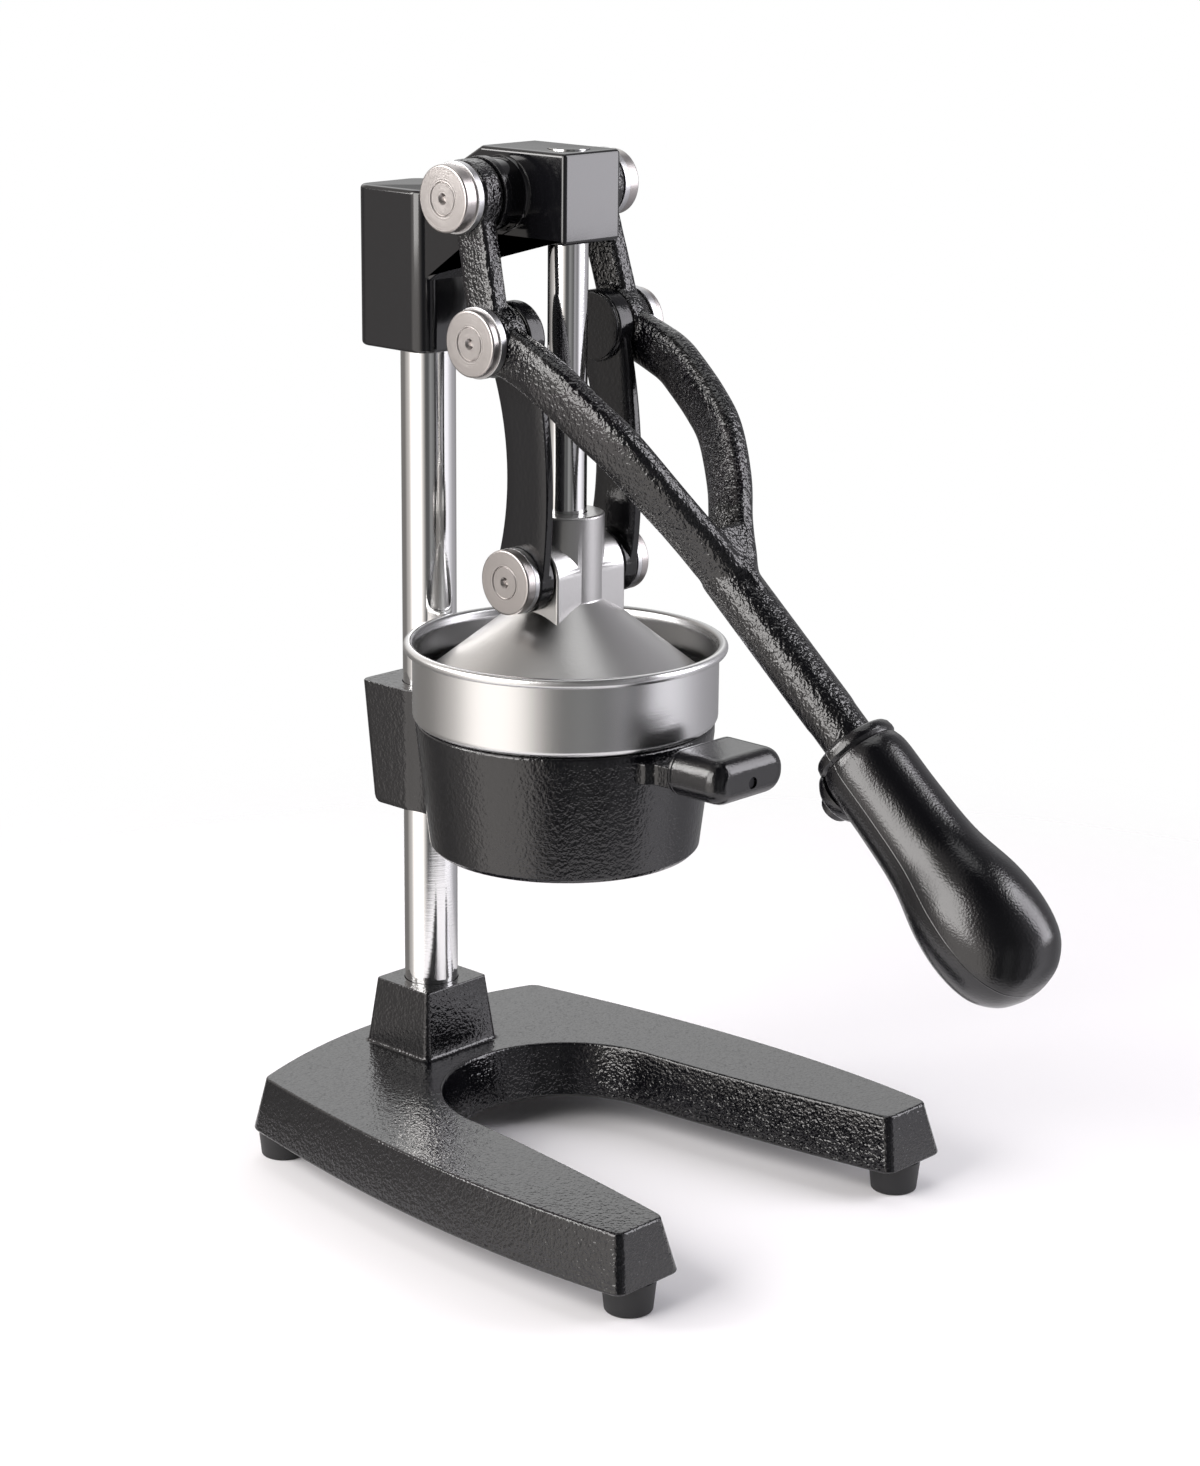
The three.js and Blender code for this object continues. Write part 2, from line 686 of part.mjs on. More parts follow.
function addLever() {
  const armSection = (share) => {
    const widening = THREE.MathUtils.smoothstep(share, ...armWideningShares);
    const narrowing = THREE.MathUtils.smoothstep(share, ...armEndingShares);
    const width = THREE.MathUtils.lerp(armRootWidth, armWidth, widening);
    const ending = THREE.MathUtils.lerp(1, armEndShare, narrowing);
    return ovalSection(width * ending, armHeight * ending, 3.2);
  };
  const arm = swept(new THREE.CatmullRomCurve3(armShares.map(forkPoint)), 2 * curveSteps + 1, armSection);
  const crankUpperOut = (thrustDiscOut + fitGap + upperBossOut) / 2;
  const crankPoint = (out, share) => new THREE.Vector3(out,
    THREE.MathUtils.lerp(upperPivot.y, kneePivot.y, share) - crankForward,
    THREE.MathUtils.lerp(upperPivot.z, kneePivot.z, share));
  const crankLine = new THREE.CubicBezierCurve3(
    crankPoint(crankUpperOut, 0), crankPoint(crankUpperOut, 1 / 3),
    crankPoint(crankLowerOut, 2 / 3), crankPoint(crankLowerOut, 1));
  const crank = swept(crankLine, curveSteps, () => ovalSection(crankThickness, crankWidth, 6));
  const halves = sides.flatMap(([, side]) => {
    const upperBoss = disc(bossRadius, thrustDiscOut + fitGap, upperBossOut, capEdge);
    const kneeBoss = turned([[0, linkBossOut + fitGap], [bossRadius - capEdge, linkBossOut + fitGap],
      [bossRadius, linkBossOut + fitGap + capEdge], [bossRadius, kneeShoulderOut - capEdge],
      [shoulderRadius, kneeShoulderOut], [shoulderRadius, kneeBossOut - capEdge],
      [shoulderRadius - capEdge, kneeBossOut], [0, kneeBossOut]]);
    return [
      solid(onPivot(upperBoss, side, upperPivot)),
      solid(onPivot(kneeBoss, side, kneePivot)),
      solid(forSide(arm, side)),
      solid(forSide(crank, side)),
    ];
  });
  const barLine = new THREE.LineCurve3(barStart, new THREE.Vector3(0, barEnd.y, barEnd.z));
  const bar = solid(swept(barLine, 1, () => ovalSection(2 * barRadius, 2 * barRadius, 2.2)));
  const shoulder = solid(alongGrip(disc(barRadius, -barRadius, gripStart - fitGap, capEdge)));
  const tang = solid(alongGrip(rod(tangRadius, 0, gripStart + tangLength)));
  const screwHole = rod(setScrewRadius + fitGap, tangRadius / 2, nubHeight).rotateX(Math.PI / 2);
  addPiece('lever_yoke', cut(
    joined(...halves, bar, shoulder, tang),
    solid(onPivot(rod(upperShaftRadius + fitGap, -upperCapOut, upperCapOut), 1, upperPivot)),
    solid(onPivot(rod(pinRadius + fitGap, -kneeCapOut, kneeCapOut), 1, kneePivot)),
    solid(alongGrip(screwHole.translate(0, 0, gripStart + nubPlace)))), hammeredPaint);
  for (const [name, side] of sides) {
    const pin = rod(pinRadius, linkBossOut + fitGap, kneeWasherOut);
    const washer = washerRing(washerRadius, kneeBossOut, kneeWasherOut, pinRadius);
    addPiece(`knee_pin_${name}`, onPivot(pin, side, kneePivot), machinedSteel);
    addPiece(`knee_washer_${name}`, onPivot(washer, side, kneePivot), zincSteel);
    addPiece(`knee_cap_${name}`, onPivot(endCap(kneeWasherOut, kneeCapOut), side, kneePivot), machinedSteel);
  }
}

// Outline of the hand grip in shares of its length and largest radius, from the collar to the tip.
const collarShares = [[0, 0.6], [0.007, 0.66], [0.037, 0.69], [0.047, 0.645]];
const swellShares = [[0.06, 0.68], [0.11, 0.727], [0.27, 0.736], [0.46, 0.79], [0.635, 0.965], [0.77, 1],
  [0.885, 0.89], [0.958, 0.62], [0.99, 0.3], [1, 0]];

function addGrip() {
  const swell = new THREE.SplineCurve(points(...swellShares)).getPoints(3 * curveSteps);
  const outside = [...points(...collarShares), ...swell]
    .map((share) => [Math.max(share.y, 0) * gripRadius, gripStart + share.x * gripLength]);
  outside[outside.length - 1][0] = 0;
  const boreRadius = tangRadius + fitGap;
  const boreEnd = gripStart + tangLength + fitGap;
  const body = solid(turned([[boreRadius, gripStart], ...outside, [0, boreEnd], [boreRadius, boreEnd],
    [boreRadius, gripStart]]));
  const nubLength = nubHeight - tangRadius - overrun;
  const nub = disc(nubRadius, nubHeight - nubLength, nubHeight, capEdge, pinFacets);
  const screwHole = rod(setScrewRadius + fitGap, tangRadius / 2, nubHeight + overrun);
  const underside = (geometry) => geometry.rotateX(Math.PI / 2).translate(0, 0, gripStart + nubPlace);
  const grip = addPiece('lever_grip', cut(joined(body, solid(underside(nub))), solid(underside(screwHole))),
    gripPlastic);
  const held = addPiece('lever_grip_screw', underside(setScrew(tangRadius / 2 + fitGap, nubHeight - capEdge)),
    zincSteel);
  for (const piece of [grip, held]) {
    piece.rotation.x = gripTurn;
    piece.position.set(0, barEnd.y, barEnd.z);
  }
}

const crossPivot = { y: -ramForward, z: crossPivotHeight };

function addLinks() {
  const middle = linkBossIn + (lowerBossOut - linkBossIn) / 2 + (linkBossIn - kneeDiscIn);
  const belly = new THREE.Vector3(middle, (kneePivot.y + crossPivot.y) / 2 - 2 * linkBow,
    (kneePivot.z + crossPivot.z) / 2);
  const spine = new THREE.QuadraticBezierCurve3(new THREE.Vector3(middle, kneePivot.y, kneePivot.z), belly,
    new THREE.Vector3(middle, crossPivot.y, crossPivot.z));
  const widthAt = (share) => linkWaist + (linkEndWidth - linkWaist) * (2 * share - 1) ** 2;
  const bar = swept(spine, curveSteps, (share) => ovalSection(linkThickness, widthAt(share), 8));
  for (const [name, side] of sides) {
    const upperBoss = disc(bossRadius, linkBossIn, linkBossOut, capEdge);
    const innerDisc = disc(kneeDiscRadius, kneeDiscIn, linkBossIn + capEdge, capEdge / 2);
    const lowerBoss = disc(bossRadius - capEdge, lugOut + 2 * fitGap, lowerBossOut, capEdge);
    addPiece(`lower_link_${name}`, cut(
      joined(
        solid(onPivot(upperBoss, side, kneePivot)),
        solid(onPivot(innerDisc, side, kneePivot)),
        solid(onPivot(lowerBoss, side, crossPivot)),
        solid(forSide(bar, side))),
      solid(onPivot(rod(pinRadius + fitGap, linkBossIn + overrun, linkBossOut + overrun), side, kneePivot)),
      solid(onPivot(rod(crossShaftRadius + fitGap, 0, lowerBossOut + overrun), side, crossPivot))),
    satinPaint);
  }
}

// The height of the cone's outer surface at a radius.
const coneHeight = (radius) => (
  coneShoulder - (radius - sleeveRadius) * coneDrop / (coneRadius - sleeveRadius));

// A flat lug beside the sleeve: a round top about the cross shaft and a skirt down to the cone.
function lugSideView() {
  const outline = new THREE.Shape();
  outline.moveTo(crossPivot.y - lugRadius, crossPivot.z);
  outline.absarc(crossPivot.y, crossPivot.z, lugRadius, Math.PI, 0, true);
  outline.lineTo(crossPivot.y + lugRadius, crossPivot.z - lugSkirt);
  outline.lineTo(crossPivot.y - lugRadius, crossPivot.z - lugSkirt);
  return outline.getPoints(curveSteps).reverse();
}

function addCone() {
  const underside = { high: coneShoulder - coneCrownShare * coneWall, radius: sleeveRadius - coneWall / 2 };
  const rimLow = coneHeight(coneRadius) - coneLip;
  const body = solid(turned([
    [0, underside.high], [underside.radius, underside.high], [coneRadius - coneWall / 2, rimLow],
    [coneRadius, rimLow], [coneRadius, coneHeight(coneRadius)], [sleeveRadius, coneShoulder],
    [sleeveRadius, sleeveTop - capEdge], [sleeveRadius - capEdge, sleeveTop], [0, sleeveTop]], bowlFacets)
    .translate(0, -ramForward, 0));
  const plate = solid(broad(lugSideView(), lugOut, capEdge));
  const belowCone = solid(turned([
    [0, rimLow - overrun], [coneRadius, rimLow - overrun],
    [coneRadius, coneHeight(coneRadius) - coneWall / 2],
    [sleeveRadius, coneShoulder - coneWall / 2], [0, coneShoulder - coneWall / 2]], bowlFacets)
    .translate(0, -ramForward, 0));
  const lugs = cut(plate, belowCone);
  const ribs = Array.from({ length: coneRibs }, (_, i) => solid(coneRib(underside, rimLow)
    .rotateZ(2 * Math.PI * (i + 0.5) / coneRibs)
    .translate(0, -ramForward, 0)));
  addPiece('press_cone', cut(
    joined(body, lugs, ...ribs),
    solid(rod(ramRadius + fitGap, ramSeat, sleeveTop + overrun, roundFacets).translate(0, -ramForward, 0)),
    solid(onPivot(rod(crossShaftRadius + fitGap, -lugOut - overrun, lugOut + overrun), 1, crossPivot))),
  castAluminium);
  const ram = solid(rod(ramRadius, ramSeat, headTop + ramProud, roundFacets).translate(0, -ramForward, 0));
  addPiece('ram_rod', cut(ram,
    solid(onPivot(rod(crossShaftRadius + fitGap, -lugOut, lugOut), 1, crossPivot))), chrome);
  addPiece('cross_shaft', onPivot(rod(crossShaftRadius, -crossWasherOut, crossWasherOut), 1, crossPivot),
    machinedSteel);
  for (const [name, side] of sides) {
    const washer = washerRing(washerRadius - capEdge, lowerBossOut + fitGap, crossWasherOut,
      crossShaftRadius);
    const cap = endCap(crossWasherOut, crossCapOut);
    addPiece(`cross_washer_${name}`, onPivot(washer, side, crossPivot), zincSteel);
    addPiece(`cross_cap_${name}`, onPivot(cap, side, crossPivot), machinedSteel);
  }
}

// A radial rib under the press cone, drawn along +X: it grips the peel and follows the cone's underside.
function coneRib(underside, rimLow) {
  const inner = underside.radius;
  const outer = coneRadius - coneWall;
  const rib = points([inner, underside.high - coneRibDepth], [outer, rimLow], [outer, rimLow + coneWall],
    [inner, underside.high + coneWall / 2]);
  return broad(rib, coneRibThickness / 2, coneRibThickness / 8).rotateZ(-Math.PI / 2);
}

// Plan of the clamp: a block round the column, a waist, and a flare into the cup's wall.
function clampPlan(back, half) {
  return softened(points(
    [clampFlareHalf, -clampFlareForward], [clampNeckHalf, -clampNeckForward], [half, -clampCheek],
    [half, back], [-half, back], [-half, -clampCheek], [-clampNeckHalf, -clampNeckForward],
    [-clampFlareHalf, -clampFlareForward]), clampRound);
}

function addCupHolder() {
  const centre = (geometry) => geometry.translate(0, -ramForward, 0);
  const wall = solid(centre(turned([
    [0, holderBottom], [holderBottomRadius - holderFootEdge, holderBottom],
    [holderBottomRadius, holderBottom + holderFootEdge],
    [holderTopRadius, holderTop - holderBand], [holderTopRadius, holderTop], [0, holderTop]], bowlFacets)));
  const hollow = solid(centre(turned([
    [0, holderBottom - overrun], [holderBottomRadius - holderWall, holderBottom - overrun],
    [holderBottomRadius - holderWall, holderBottom], [holderTopRadius - holderWall, holderTop],
    [holderTopRadius - holderWall, clampTop + overrun], [0, clampTop + overrun]], bowlFacets)));
  const seat = solid(centre(rod(bowlRadius + overrun, holderTop, clampTop + overrun, bowlFacets)));
  const clamp = solid(stacked([
    [clampPlan(clampBackBottom - holderEdge, clampHalf - holderEdge), clampBottom],
    [clampPlan(clampBackBottom, clampHalf - holderEdge / 2), clampBottom + 2 * holderEdge],
    [clampPlan(clampBackTop, clampHalf), clampTop - holderEdge / 2],
    [clampPlan(clampBackTop - holderEdge / 2, clampHalf - holderEdge / 2), clampTop],
  ]));
  const tabLow = tabTop - tabThickness;
  const wallFront = ramForward + holderTopRadius;
  const tabPlan = points(
    [-tabHalf - tabFillet, -wallFront + holderWall], [-tabHalf - tabFillet, -wallFront],
    [-tabHalf, -wallFront - tabFillet], [-tabHalf, -tabForward], [tabHalf, -tabForward],
    [tabHalf, -wallFront - tabFillet], [tabHalf + tabFillet, -wallFront],
    [tabHalf + tabFillet, -wallFront + holderWall]);
  const tab = solid(stacked([
    [grown(tabPlan, -holderEdge / 2), tabLow],
    [tabPlan, tabLow + holderEdge / 2],
    [tabPlan, tabTop - holderEdge / 2],
    [grown(tabPlan, -holderEdge / 2), tabTop],
  ]));
  const tangHigh = handleMiddle + tabTangThickness / 2;
  const tangPlan = rectangle(tabTangHalf, (tabTangLength + overrun) / 2)
    .map((p) => p.clone().setY(p.y - tabForward + overrun - (tabTangLength + overrun) / 2));
  const tang = solid(stacked([[tangPlan, tangHigh - tabTangThickness], [tangPlan, tangHigh]]));
  const screwHeight = (clampTop + clampBottom) / 2 + clampRound;
  addPiece('cup_holder', cut(
    joined(wall, clamp, tab, tang),
    hollow,
    seat,
    solid(rod(columnRadius + fitGap, clampBottom - overrun, clampTop + overrun, roundFacets)),
    solid(pointingBack(rod(setScrewRadius + fitGap, 0, clampBackTop + overrun), screwHeight)),
    solid(handleScrewHole())), hammeredPaint);
  addPiece('clamp_set_screw', pointingBack(setScrew(columnRadius + fitGap, clampBackBottom + holderEdge),
    screwHeight), zincSteel);
}

// Turns a body made about Z to point forward at the height of the tab.
const pointingForward = (geometry) => geometry.rotateX(Math.PI / 2).translate(0, 0, handleMiddle);

function handleScrewHole() {
  return pointingForward(rod(handleScrewRadius + fitGap, tabForward + fitGap, handleFront + overrun));
}

function addSideHandle() {
  const front = softened(rectangle(handleHalf, handleHeight / 2), handleEndRound, 4);
  const body = stacked([
    [grown(front, -handleBackRound), fitGap],
    [front, fitGap + handleBackRound],
    [front, handleDepth - handleFrontRound],
    [grown(front, -handleFrontRound / 4), handleDepth - handleFrontRound / 3],
    [grown(front, -handleFrontRound), handleDepth],
  ]).rotateX(Math.PI / 2).translate(0, -tabForward, handleTop - handleHeight / 2);
  const slotDepth = tabTangLength + fitGap;
  const slotHalf = tabTangHalf + fitGap;
  const slotPlan = points([slotHalf, -tabForward - slotDepth], [slotHalf, -tabForward + overrun],
    [-slotHalf, -tabForward + overrun], [-slotHalf, -tabForward - slotDepth]);
  const slot = stacked([[slotPlan, handleMiddle - tabTangThickness / 2 - fitGap],
    [slotPlan, handleMiddle + tabTangThickness / 2 + fitGap]]);
  const headSeat = handleFront - handleRecessDepth;
  const recess = rod(handleScrewHeadRadius + fitGap, headSeat, handleFront + overrun);
  addPiece('side_handle_grip', cut(solid(body), solid(slot), solid(handleScrewHole()),
    solid(pointingForward(recess))), gripPlastic);
  const tip = tabForward + 2 * fitGap;
  const held = turned([[0, tip], [handleScrewRadius, tip], [handleScrewRadius, headSeat],
    [handleScrewHeadRadius, headSeat], [handleScrewHeadRadius, headSeat + handleScrewHeadHeight],
    [0, headSeat + handleScrewHeadHeight]], pinFacets);
  addPiece('side_handle_screw', pointingForward(held), zincSteel);
}

// A rolled rim: an open arc about the rim's centre, from the outer wall over the top to the inner wall.
function rimArc() {
  const centreRadius = rimOut - rimTube;
  const [start, end] = [-0.7 * Math.PI, Math.PI];
  return Array.from({ length: curveSteps + 1 }, (_, i) => {
    const angle = start + (end - start) * i / curveSteps;
    return [centreRadius + rimTube * Math.cos(angle), rimHeight + rimTube * Math.sin(angle)];
  });
}

function addBowl() {
  const floor = holderTop;
  const innerRadius = bowlRadius - bowlWall;
  const funnelInnerRadius = funnelTopRadius - bowlWall;
  const profile = [
    [spoutRadius, spoutBottom], [spoutRadius, spoutTop], [funnelTopRadius, funnelShoulder],
    [funnelTopRadius, floor], [bowlRadius - bowlCorner, floor], [bowlRadius, floor + bowlCorner],
    [bowlRadius, bowlWallTop],
    ...rimArc(),
    [innerRadius, bowlWallTop], [innerRadius, floor + bowlWall + bowlCorner],
    [innerRadius - bowlCorner / 2, floor + bowlWall], [funnelInnerRadius, floor + bowlWall],
    [funnelInnerRadius, funnelShoulder + bowlWall / 2], [spoutRadius - bowlWall, spoutTop + bowlWall / 2],
    [spoutRadius - bowlWall, spoutBottom]];
  addPiece('juice_bowl', turned(profile, bowlFacets).translate(0, -ramForward, 0), stainless);
}

// The strainer: a hollow cone with a round nose and slots, on a flange that lies in the bowl.
function addStrainer() {
  const low = holderTop + bowlWall;
  const flangeTop = low + strainerFlange;
  const top = flangeTop + strainerRise;
  const slope = strainerRise / (strainerFootRadius - strainerNose);
  const body = solid(turned([
    [strainerFootRadius - strainerWall, low], [strainerFlangeRadius, low], [strainerFlangeRadius, flangeTop],
    [strainerFootRadius, flangeTop], [strainerNose, top],
    [strainerNose / 2, top + strainerNose * slope / 2], [0, top + strainerNose * slope * strainerTipShare],
    [0, top - strainerWall], [strainerNose - strainerWall / 2, top - strainerWall]]));
  const middle = (slotLowRadius + slotHighRadius) / 2;
  const length = (slotLowRadius - slotHighRadius) / Math.cos(Math.atan(slope));
  const slots = Array.from({ length: slotCount }, (_, i) => {
    const tool = new THREE.BoxGeometry(length, slotWidth, 4 * strainerWall);
    tool.rotateY(Math.atan(slope));
    tool.translate(middle, 0, flangeTop + (strainerFootRadius - middle) * slope);
    return solid(tool.rotateZ(2 * Math.PI * i / slotCount));
  });
  const strainer = addPiece('strainer', cut(body, ...slots), stainless);
  strainer.position.y = -ramForward;
}

addFeet();
addBase();
addColumn();
addHead();
addUpperPivot();
addLever();
addGrip();
addLinks();
addCone();
addCupHolder();
addSideHandle();
addBowl();
addStrainer();

const raised = toggleAt(raisedAngle);
console.log(`Lever raised: cone up ${raised.rise.toFixed(3)} mm, links turned ${
  THREE.MathUtils.radToDeg(raised.turn).toFixed(4)} degrees`);

// The origin is the middle of the floor area that the whole press covers.
const span = new THREE.Box3().setFromObject(group, true);
group.position.y = -(span.min.y + span.max.y) / 2;
console.log(`Column axis at y = ${group.position.y.toFixed(4)} mm`);

export default group;
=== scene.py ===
"""Looks of the lever citrus juice press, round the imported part. Metres, +Z up, the front towards -Y."""
import math

import bpy
import bmesh
from mathutils import Matrix, Vector


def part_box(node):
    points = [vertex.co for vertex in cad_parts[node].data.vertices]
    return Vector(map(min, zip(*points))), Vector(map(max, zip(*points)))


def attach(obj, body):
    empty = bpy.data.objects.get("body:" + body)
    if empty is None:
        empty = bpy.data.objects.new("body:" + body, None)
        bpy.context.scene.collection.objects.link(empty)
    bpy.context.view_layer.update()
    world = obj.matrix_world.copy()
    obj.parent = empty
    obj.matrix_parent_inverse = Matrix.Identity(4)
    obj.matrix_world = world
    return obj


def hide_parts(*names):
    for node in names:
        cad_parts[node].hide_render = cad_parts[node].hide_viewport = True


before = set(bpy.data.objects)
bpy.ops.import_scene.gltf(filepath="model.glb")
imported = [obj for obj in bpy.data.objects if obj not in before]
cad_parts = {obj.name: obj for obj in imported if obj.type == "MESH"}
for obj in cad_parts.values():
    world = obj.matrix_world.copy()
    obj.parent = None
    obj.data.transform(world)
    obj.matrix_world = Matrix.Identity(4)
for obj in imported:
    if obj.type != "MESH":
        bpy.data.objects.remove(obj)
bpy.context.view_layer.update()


def middle(name):
    low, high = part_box(name)
    return (low + high) / 2


# Places that the pieces are built round, from the part itself
COLUMN = middle("column")
RAM = middle("ram_rod")
UPPER = middle("upper_cap_right")
KNEE = middle("knee_cap_right")
CROSS = middle("cross_cap_right")
SIDES = (("left", -1), ("right", 1))

# Shared allowances, counts and turns
FIT_GAP = 0.0003
SINK = 0.001
SMALL_EDGE = 0.001
NEAR_ZERO = 1e-7
SCREW_SEGMENTS = 24
BORE_SEGMENTS = 32
BOSS_SEGMENTS = 48
NUB_SEGMENTS = 64
ROUND_SEGMENTS = 96
GRIP_SEGMENTS = 128
BOWL_SEGMENTS = 160
WASHER_STEPS = 2
CAP_STEPS = 3
ARC_STEPS = 4
FINE_ARC_STEPS = 6
LARGE_ARC_STEPS = 8
CURVE_STEPS = 24
OVAL_STEPS = 32
FULL_TURN = 360
SHARP_TURN = math.radians(20)
SMOOTH_ANGLE = math.radians(32)
MITRE_LIMIT = 0.5
ARC_REACH_SHARE = 1 / 2.1
CAST_VOXEL = 0.00075
CAST_SOFTNESS = 0.5
CAST_SMOOTHING = 9
FORWARDS = Matrix.Rotation(math.pi / 2, 4, "X")
BACKWARDS = Matrix.Rotation(-math.pi / 2, 4, "X")

# Base casting
FOOT_PLACES = ("front_left", "front_right", "rear_left", "rear_right")
BASE_FRONT, BASE_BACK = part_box("base_casting")
BASE_LOW = BASE_FRONT.z
PEDESTAL_TOP = BASE_BACK.z
BASE_THICKNESS = 0.0213
BASE_TOP = BASE_LOW + BASE_THICKNESS
BASE_DRAFT = 0.0044
BASE_EDGE = 0.0012
BASE_WALL = 0.006
FLANK_STEPS = 12
NOTCH_STEPS = 40
TIP_FORWARD = COLUMN.y - BASE_FRONT.y - BASE_DRAFT
TIP_OUTER = 0.0866
TIP_INNER = 0.063
TIP_ROUND = 0.004
BULGE_HALF = 0.098
BULGE_FORWARD = 0.098
REAR_HALF = 0.075
REAR_BACK = 0.016
REAR_ARCH = 0.028
REAR_ROUND = 0.010
NOTCH_RADIUS = 0.0485
NOTCH_FORWARD = 0.076
FLANK_HALF = 0.053
FLANK_FORWARD = 0.128
POCKET_DEPTH = 0.012
FOOT_BOSS_RADIUS = 0.010
FOOT_SCREW_BORE = 0.0028
COLUMN_BOSS_RADIUS = 0.017
COLUMN_BOLT_RADIUS = 0.004
COLUMN_BOLT_HEAD_HEIGHT = 0.005
PEDESTAL_HALF_X = 0.0164
PEDESTAL_HALF_Y = 0.0146
PEDESTAL_DRAFT = 0.003
PEDESTAL_ROUND = 0.0016
PEDESTAL_FILLET = 0.0016

# Feet
FOOT_RECESS_RADIUS = 0.005
FOOT_RECESS_DEPTH = 0.007
FOOT_BOTTOM_RADIUS = 0.0088

# Head casting
HEAD_FRONT, HEAD_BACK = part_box("head_casting")
HEAD_TOP = HEAD_BACK.z
HEAD_LOW = HEAD_FRONT.z
FRONT_HEIGHT = 0.0326
FRONT_HALF = 0.0146
FRONT_FACE = COLUMN.y - HEAD_FRONT.y
FRONT_BACK = 0.043
REAR_DROP = 0.0187
REAR_TOP = HEAD_TOP - REAR_DROP
REAR_BLOCK_HALF = 0.01705
REAR_BLOCK_FRONT = 0.0156
REAR_BLOCK_BACK = HEAD_BACK.y - COLUMN.y
REAR_BLOCK_ROUND = 0.007
REAR_BLOCK_STEPS = 10
THROAT_DROP = 0.019
HEAD_EDGE = 0.0016
HUB_RADIUS = 0.0128
HUB_FILLET = 0.0023

# Round caps, washers and bosses on the pivots
CAP_EDGE = 0.0008
CAP_RING_SHARE = 0.49
CAP_RING_WIDTH = 0.0003
CAP_DIMPLE_SHARE = 0.17
CAP_DIMPLE_DEPTH = 0.0016
WASHER_EDGE = 0.0003
SHAFT_BORE = 0.0063
PIN_BORE = 0.0053
CROSS_BORE = 0.0048
BOSS_RADIUS = 0.0133
BOSS_EDGE = 0.0009
SHOULDER_RADIUS = 0.0125
SHOULDER_OUT = 0.0353

# Lever casting
CRANK_WIDTH = 0.015
CRANK_THICKNESS = 0.0084
CRANK_FORWARD = 0.001
CRANK_POWER = 6
ARM_WIDTH = 0.0108
ARM_ROOT_WIDTH = 0.0095
ARM_HEIGHT = 0.0188
ARM_OUT = 0.0335
ARM_POWERS = (3.2, 2.3)
ARM_POWER_SHARES = (0.5, 0.95)
ARM_STEPS = 6
BAR_RADIUS = 0.0093
BAR_POWER = 2.2
BAR_END_FORWARD = 0.2008
BAR_END_HEIGHT = 0.2067
BAR_END = Vector((0, COLUMN.y - BAR_END_FORWARD, BAR_END_HEIGHT))
TANG_RADIUS = 0.006
TANG_LENGTH = 0.062
ARM_SHARES = (
    (0.99, 0.02, 0.01), (0.99, 0.14, 0.06), (1, 0.2, 0.09), (0.97, 0.253, 0.127),
    (0.9, 0.346, 0.205), (0.78, 0.428, 0.283), (0.55, 0.514, 0.411), (0.31, 0.575, 0.521),
    (0.13, 0.64, 0.626), (0.05, 0.71, 0.702))
ARM_WIDENING_SHARES = (0.07, 0.17)
ARM_ENDING_SHARES = (0.86, 1)
ARM_END_SHARE = 0.68
BAR_START_SHARE = (0, 0.572, 0.59)
BAR_NOSE_SHARE = 0.6
BAR_NOSE_REACH = 0.12
WEB_SHARES = ((0, 0.585, 0.535), (0, 0.64, 0.62), (0, 0.71, 0.702))
WEB_SPREAD_SHARES = (0.27, 0.05)
WEB_HEIGHT = 0.0165
WEB_POWER = 6

# Hand grip
GRIP_START = 0.0125
GRIP_LENGTH = 0.108
GRIP_RADIUS = 0.022
GRIP_DROOP = math.radians(0.6)
NUB_PLACE = 0.0115
NUB_RADIUS = 0.0056
NUB_HEIGHT = 0.0235
NUB_FLARE = 0.006
NUB_BORE = 0.0033
SEAM_WIDTH = 0.0003
SEAM_HEIGHT = 0.0001
SWELL_STEPS = 8
GRIP_NECK_SHARE = 0.6
COLLAR_SHARES = (
    (0, 0.6), (0.004, 0.645), (0.012, 0.675), (0.028, 0.69), (0.037, 0.688), (0.043, 0.66), (0.048, 0.645))
SWELL_SHARES = (
    (0.052, 0.655), (0.06, 0.68), (0.11, 0.727), (0.27, 0.736), (0.46, 0.79), (0.635, 0.965), (0.77, 1),
    (0.885, 0.89), (0.958, 0.62), (0.99, 0.3), (1, 0))

# Lower links
LINK_WAIST = 0.020
LINK_END_WIDTH = 0.024
LINK_THICKNESS = 0.0045
LINK_BOW = 0.0066
LINK_DISC_RADIUS = 0.0124
LINK_DISC_HEIGHT = 0.0008
LINK_BOSS_HEIGHT = 0.0077
LINK_POWER = 8
LUG_GAP = 2 * FIT_GAP

# Press cone and ram
CONE_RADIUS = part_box("press_cone")[1].x
SHOULDER_DROP = 0.010
CONE_SHOULDER = CROSS.z - SHOULDER_DROP
CONE_DROP = 0.029
CONE_LIP = 0.003
CONE_WALL = 0.0046
CONE_CROWN_SHARE = 1.3
SLEEVE_RADIUS = 0.0141
RAM_BORE = 0.0077
LUG_RADIUS = 0.013
LUG_SKIRT = 0.017
LUG_STEPS = 32
CONE_RIBS = 8
RIB_THICKNESS = 0.0024
RIB_DEPTH = 0.002

# Cup holder
HOLDER_FRONT, HOLDER_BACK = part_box("cup_holder")
HOLDER_LOW = HOLDER_FRONT.z
CLAMP_TOP = HOLDER_BACK.z
CLAMP_RISE = 0.001
HOLDER_TOP = CLAMP_TOP - CLAMP_RISE
HOLDER_TOP_RADIUS = HOLDER_BACK.x
HOLDER_TAPER = 0.0051
HOLDER_LOW_RADIUS = HOLDER_TOP_RADIUS - HOLDER_TAPER
HOLDER_FOOT_EDGE = 0.0018
HOLDER_BAND = 0.004
HOLDER_WALL = 0.005
HOLDER_EDGE = 0.0012
CLAMP_HEIGHT = 0.0485
CLAMP_LOW = CLAMP_TOP - CLAMP_HEIGHT
CLAMP_HALF = 0.0175
CLAMP_BACK_TOP = HOLDER_BACK.y - COLUMN.y
CLAMP_BACK_LOW = 0.0163
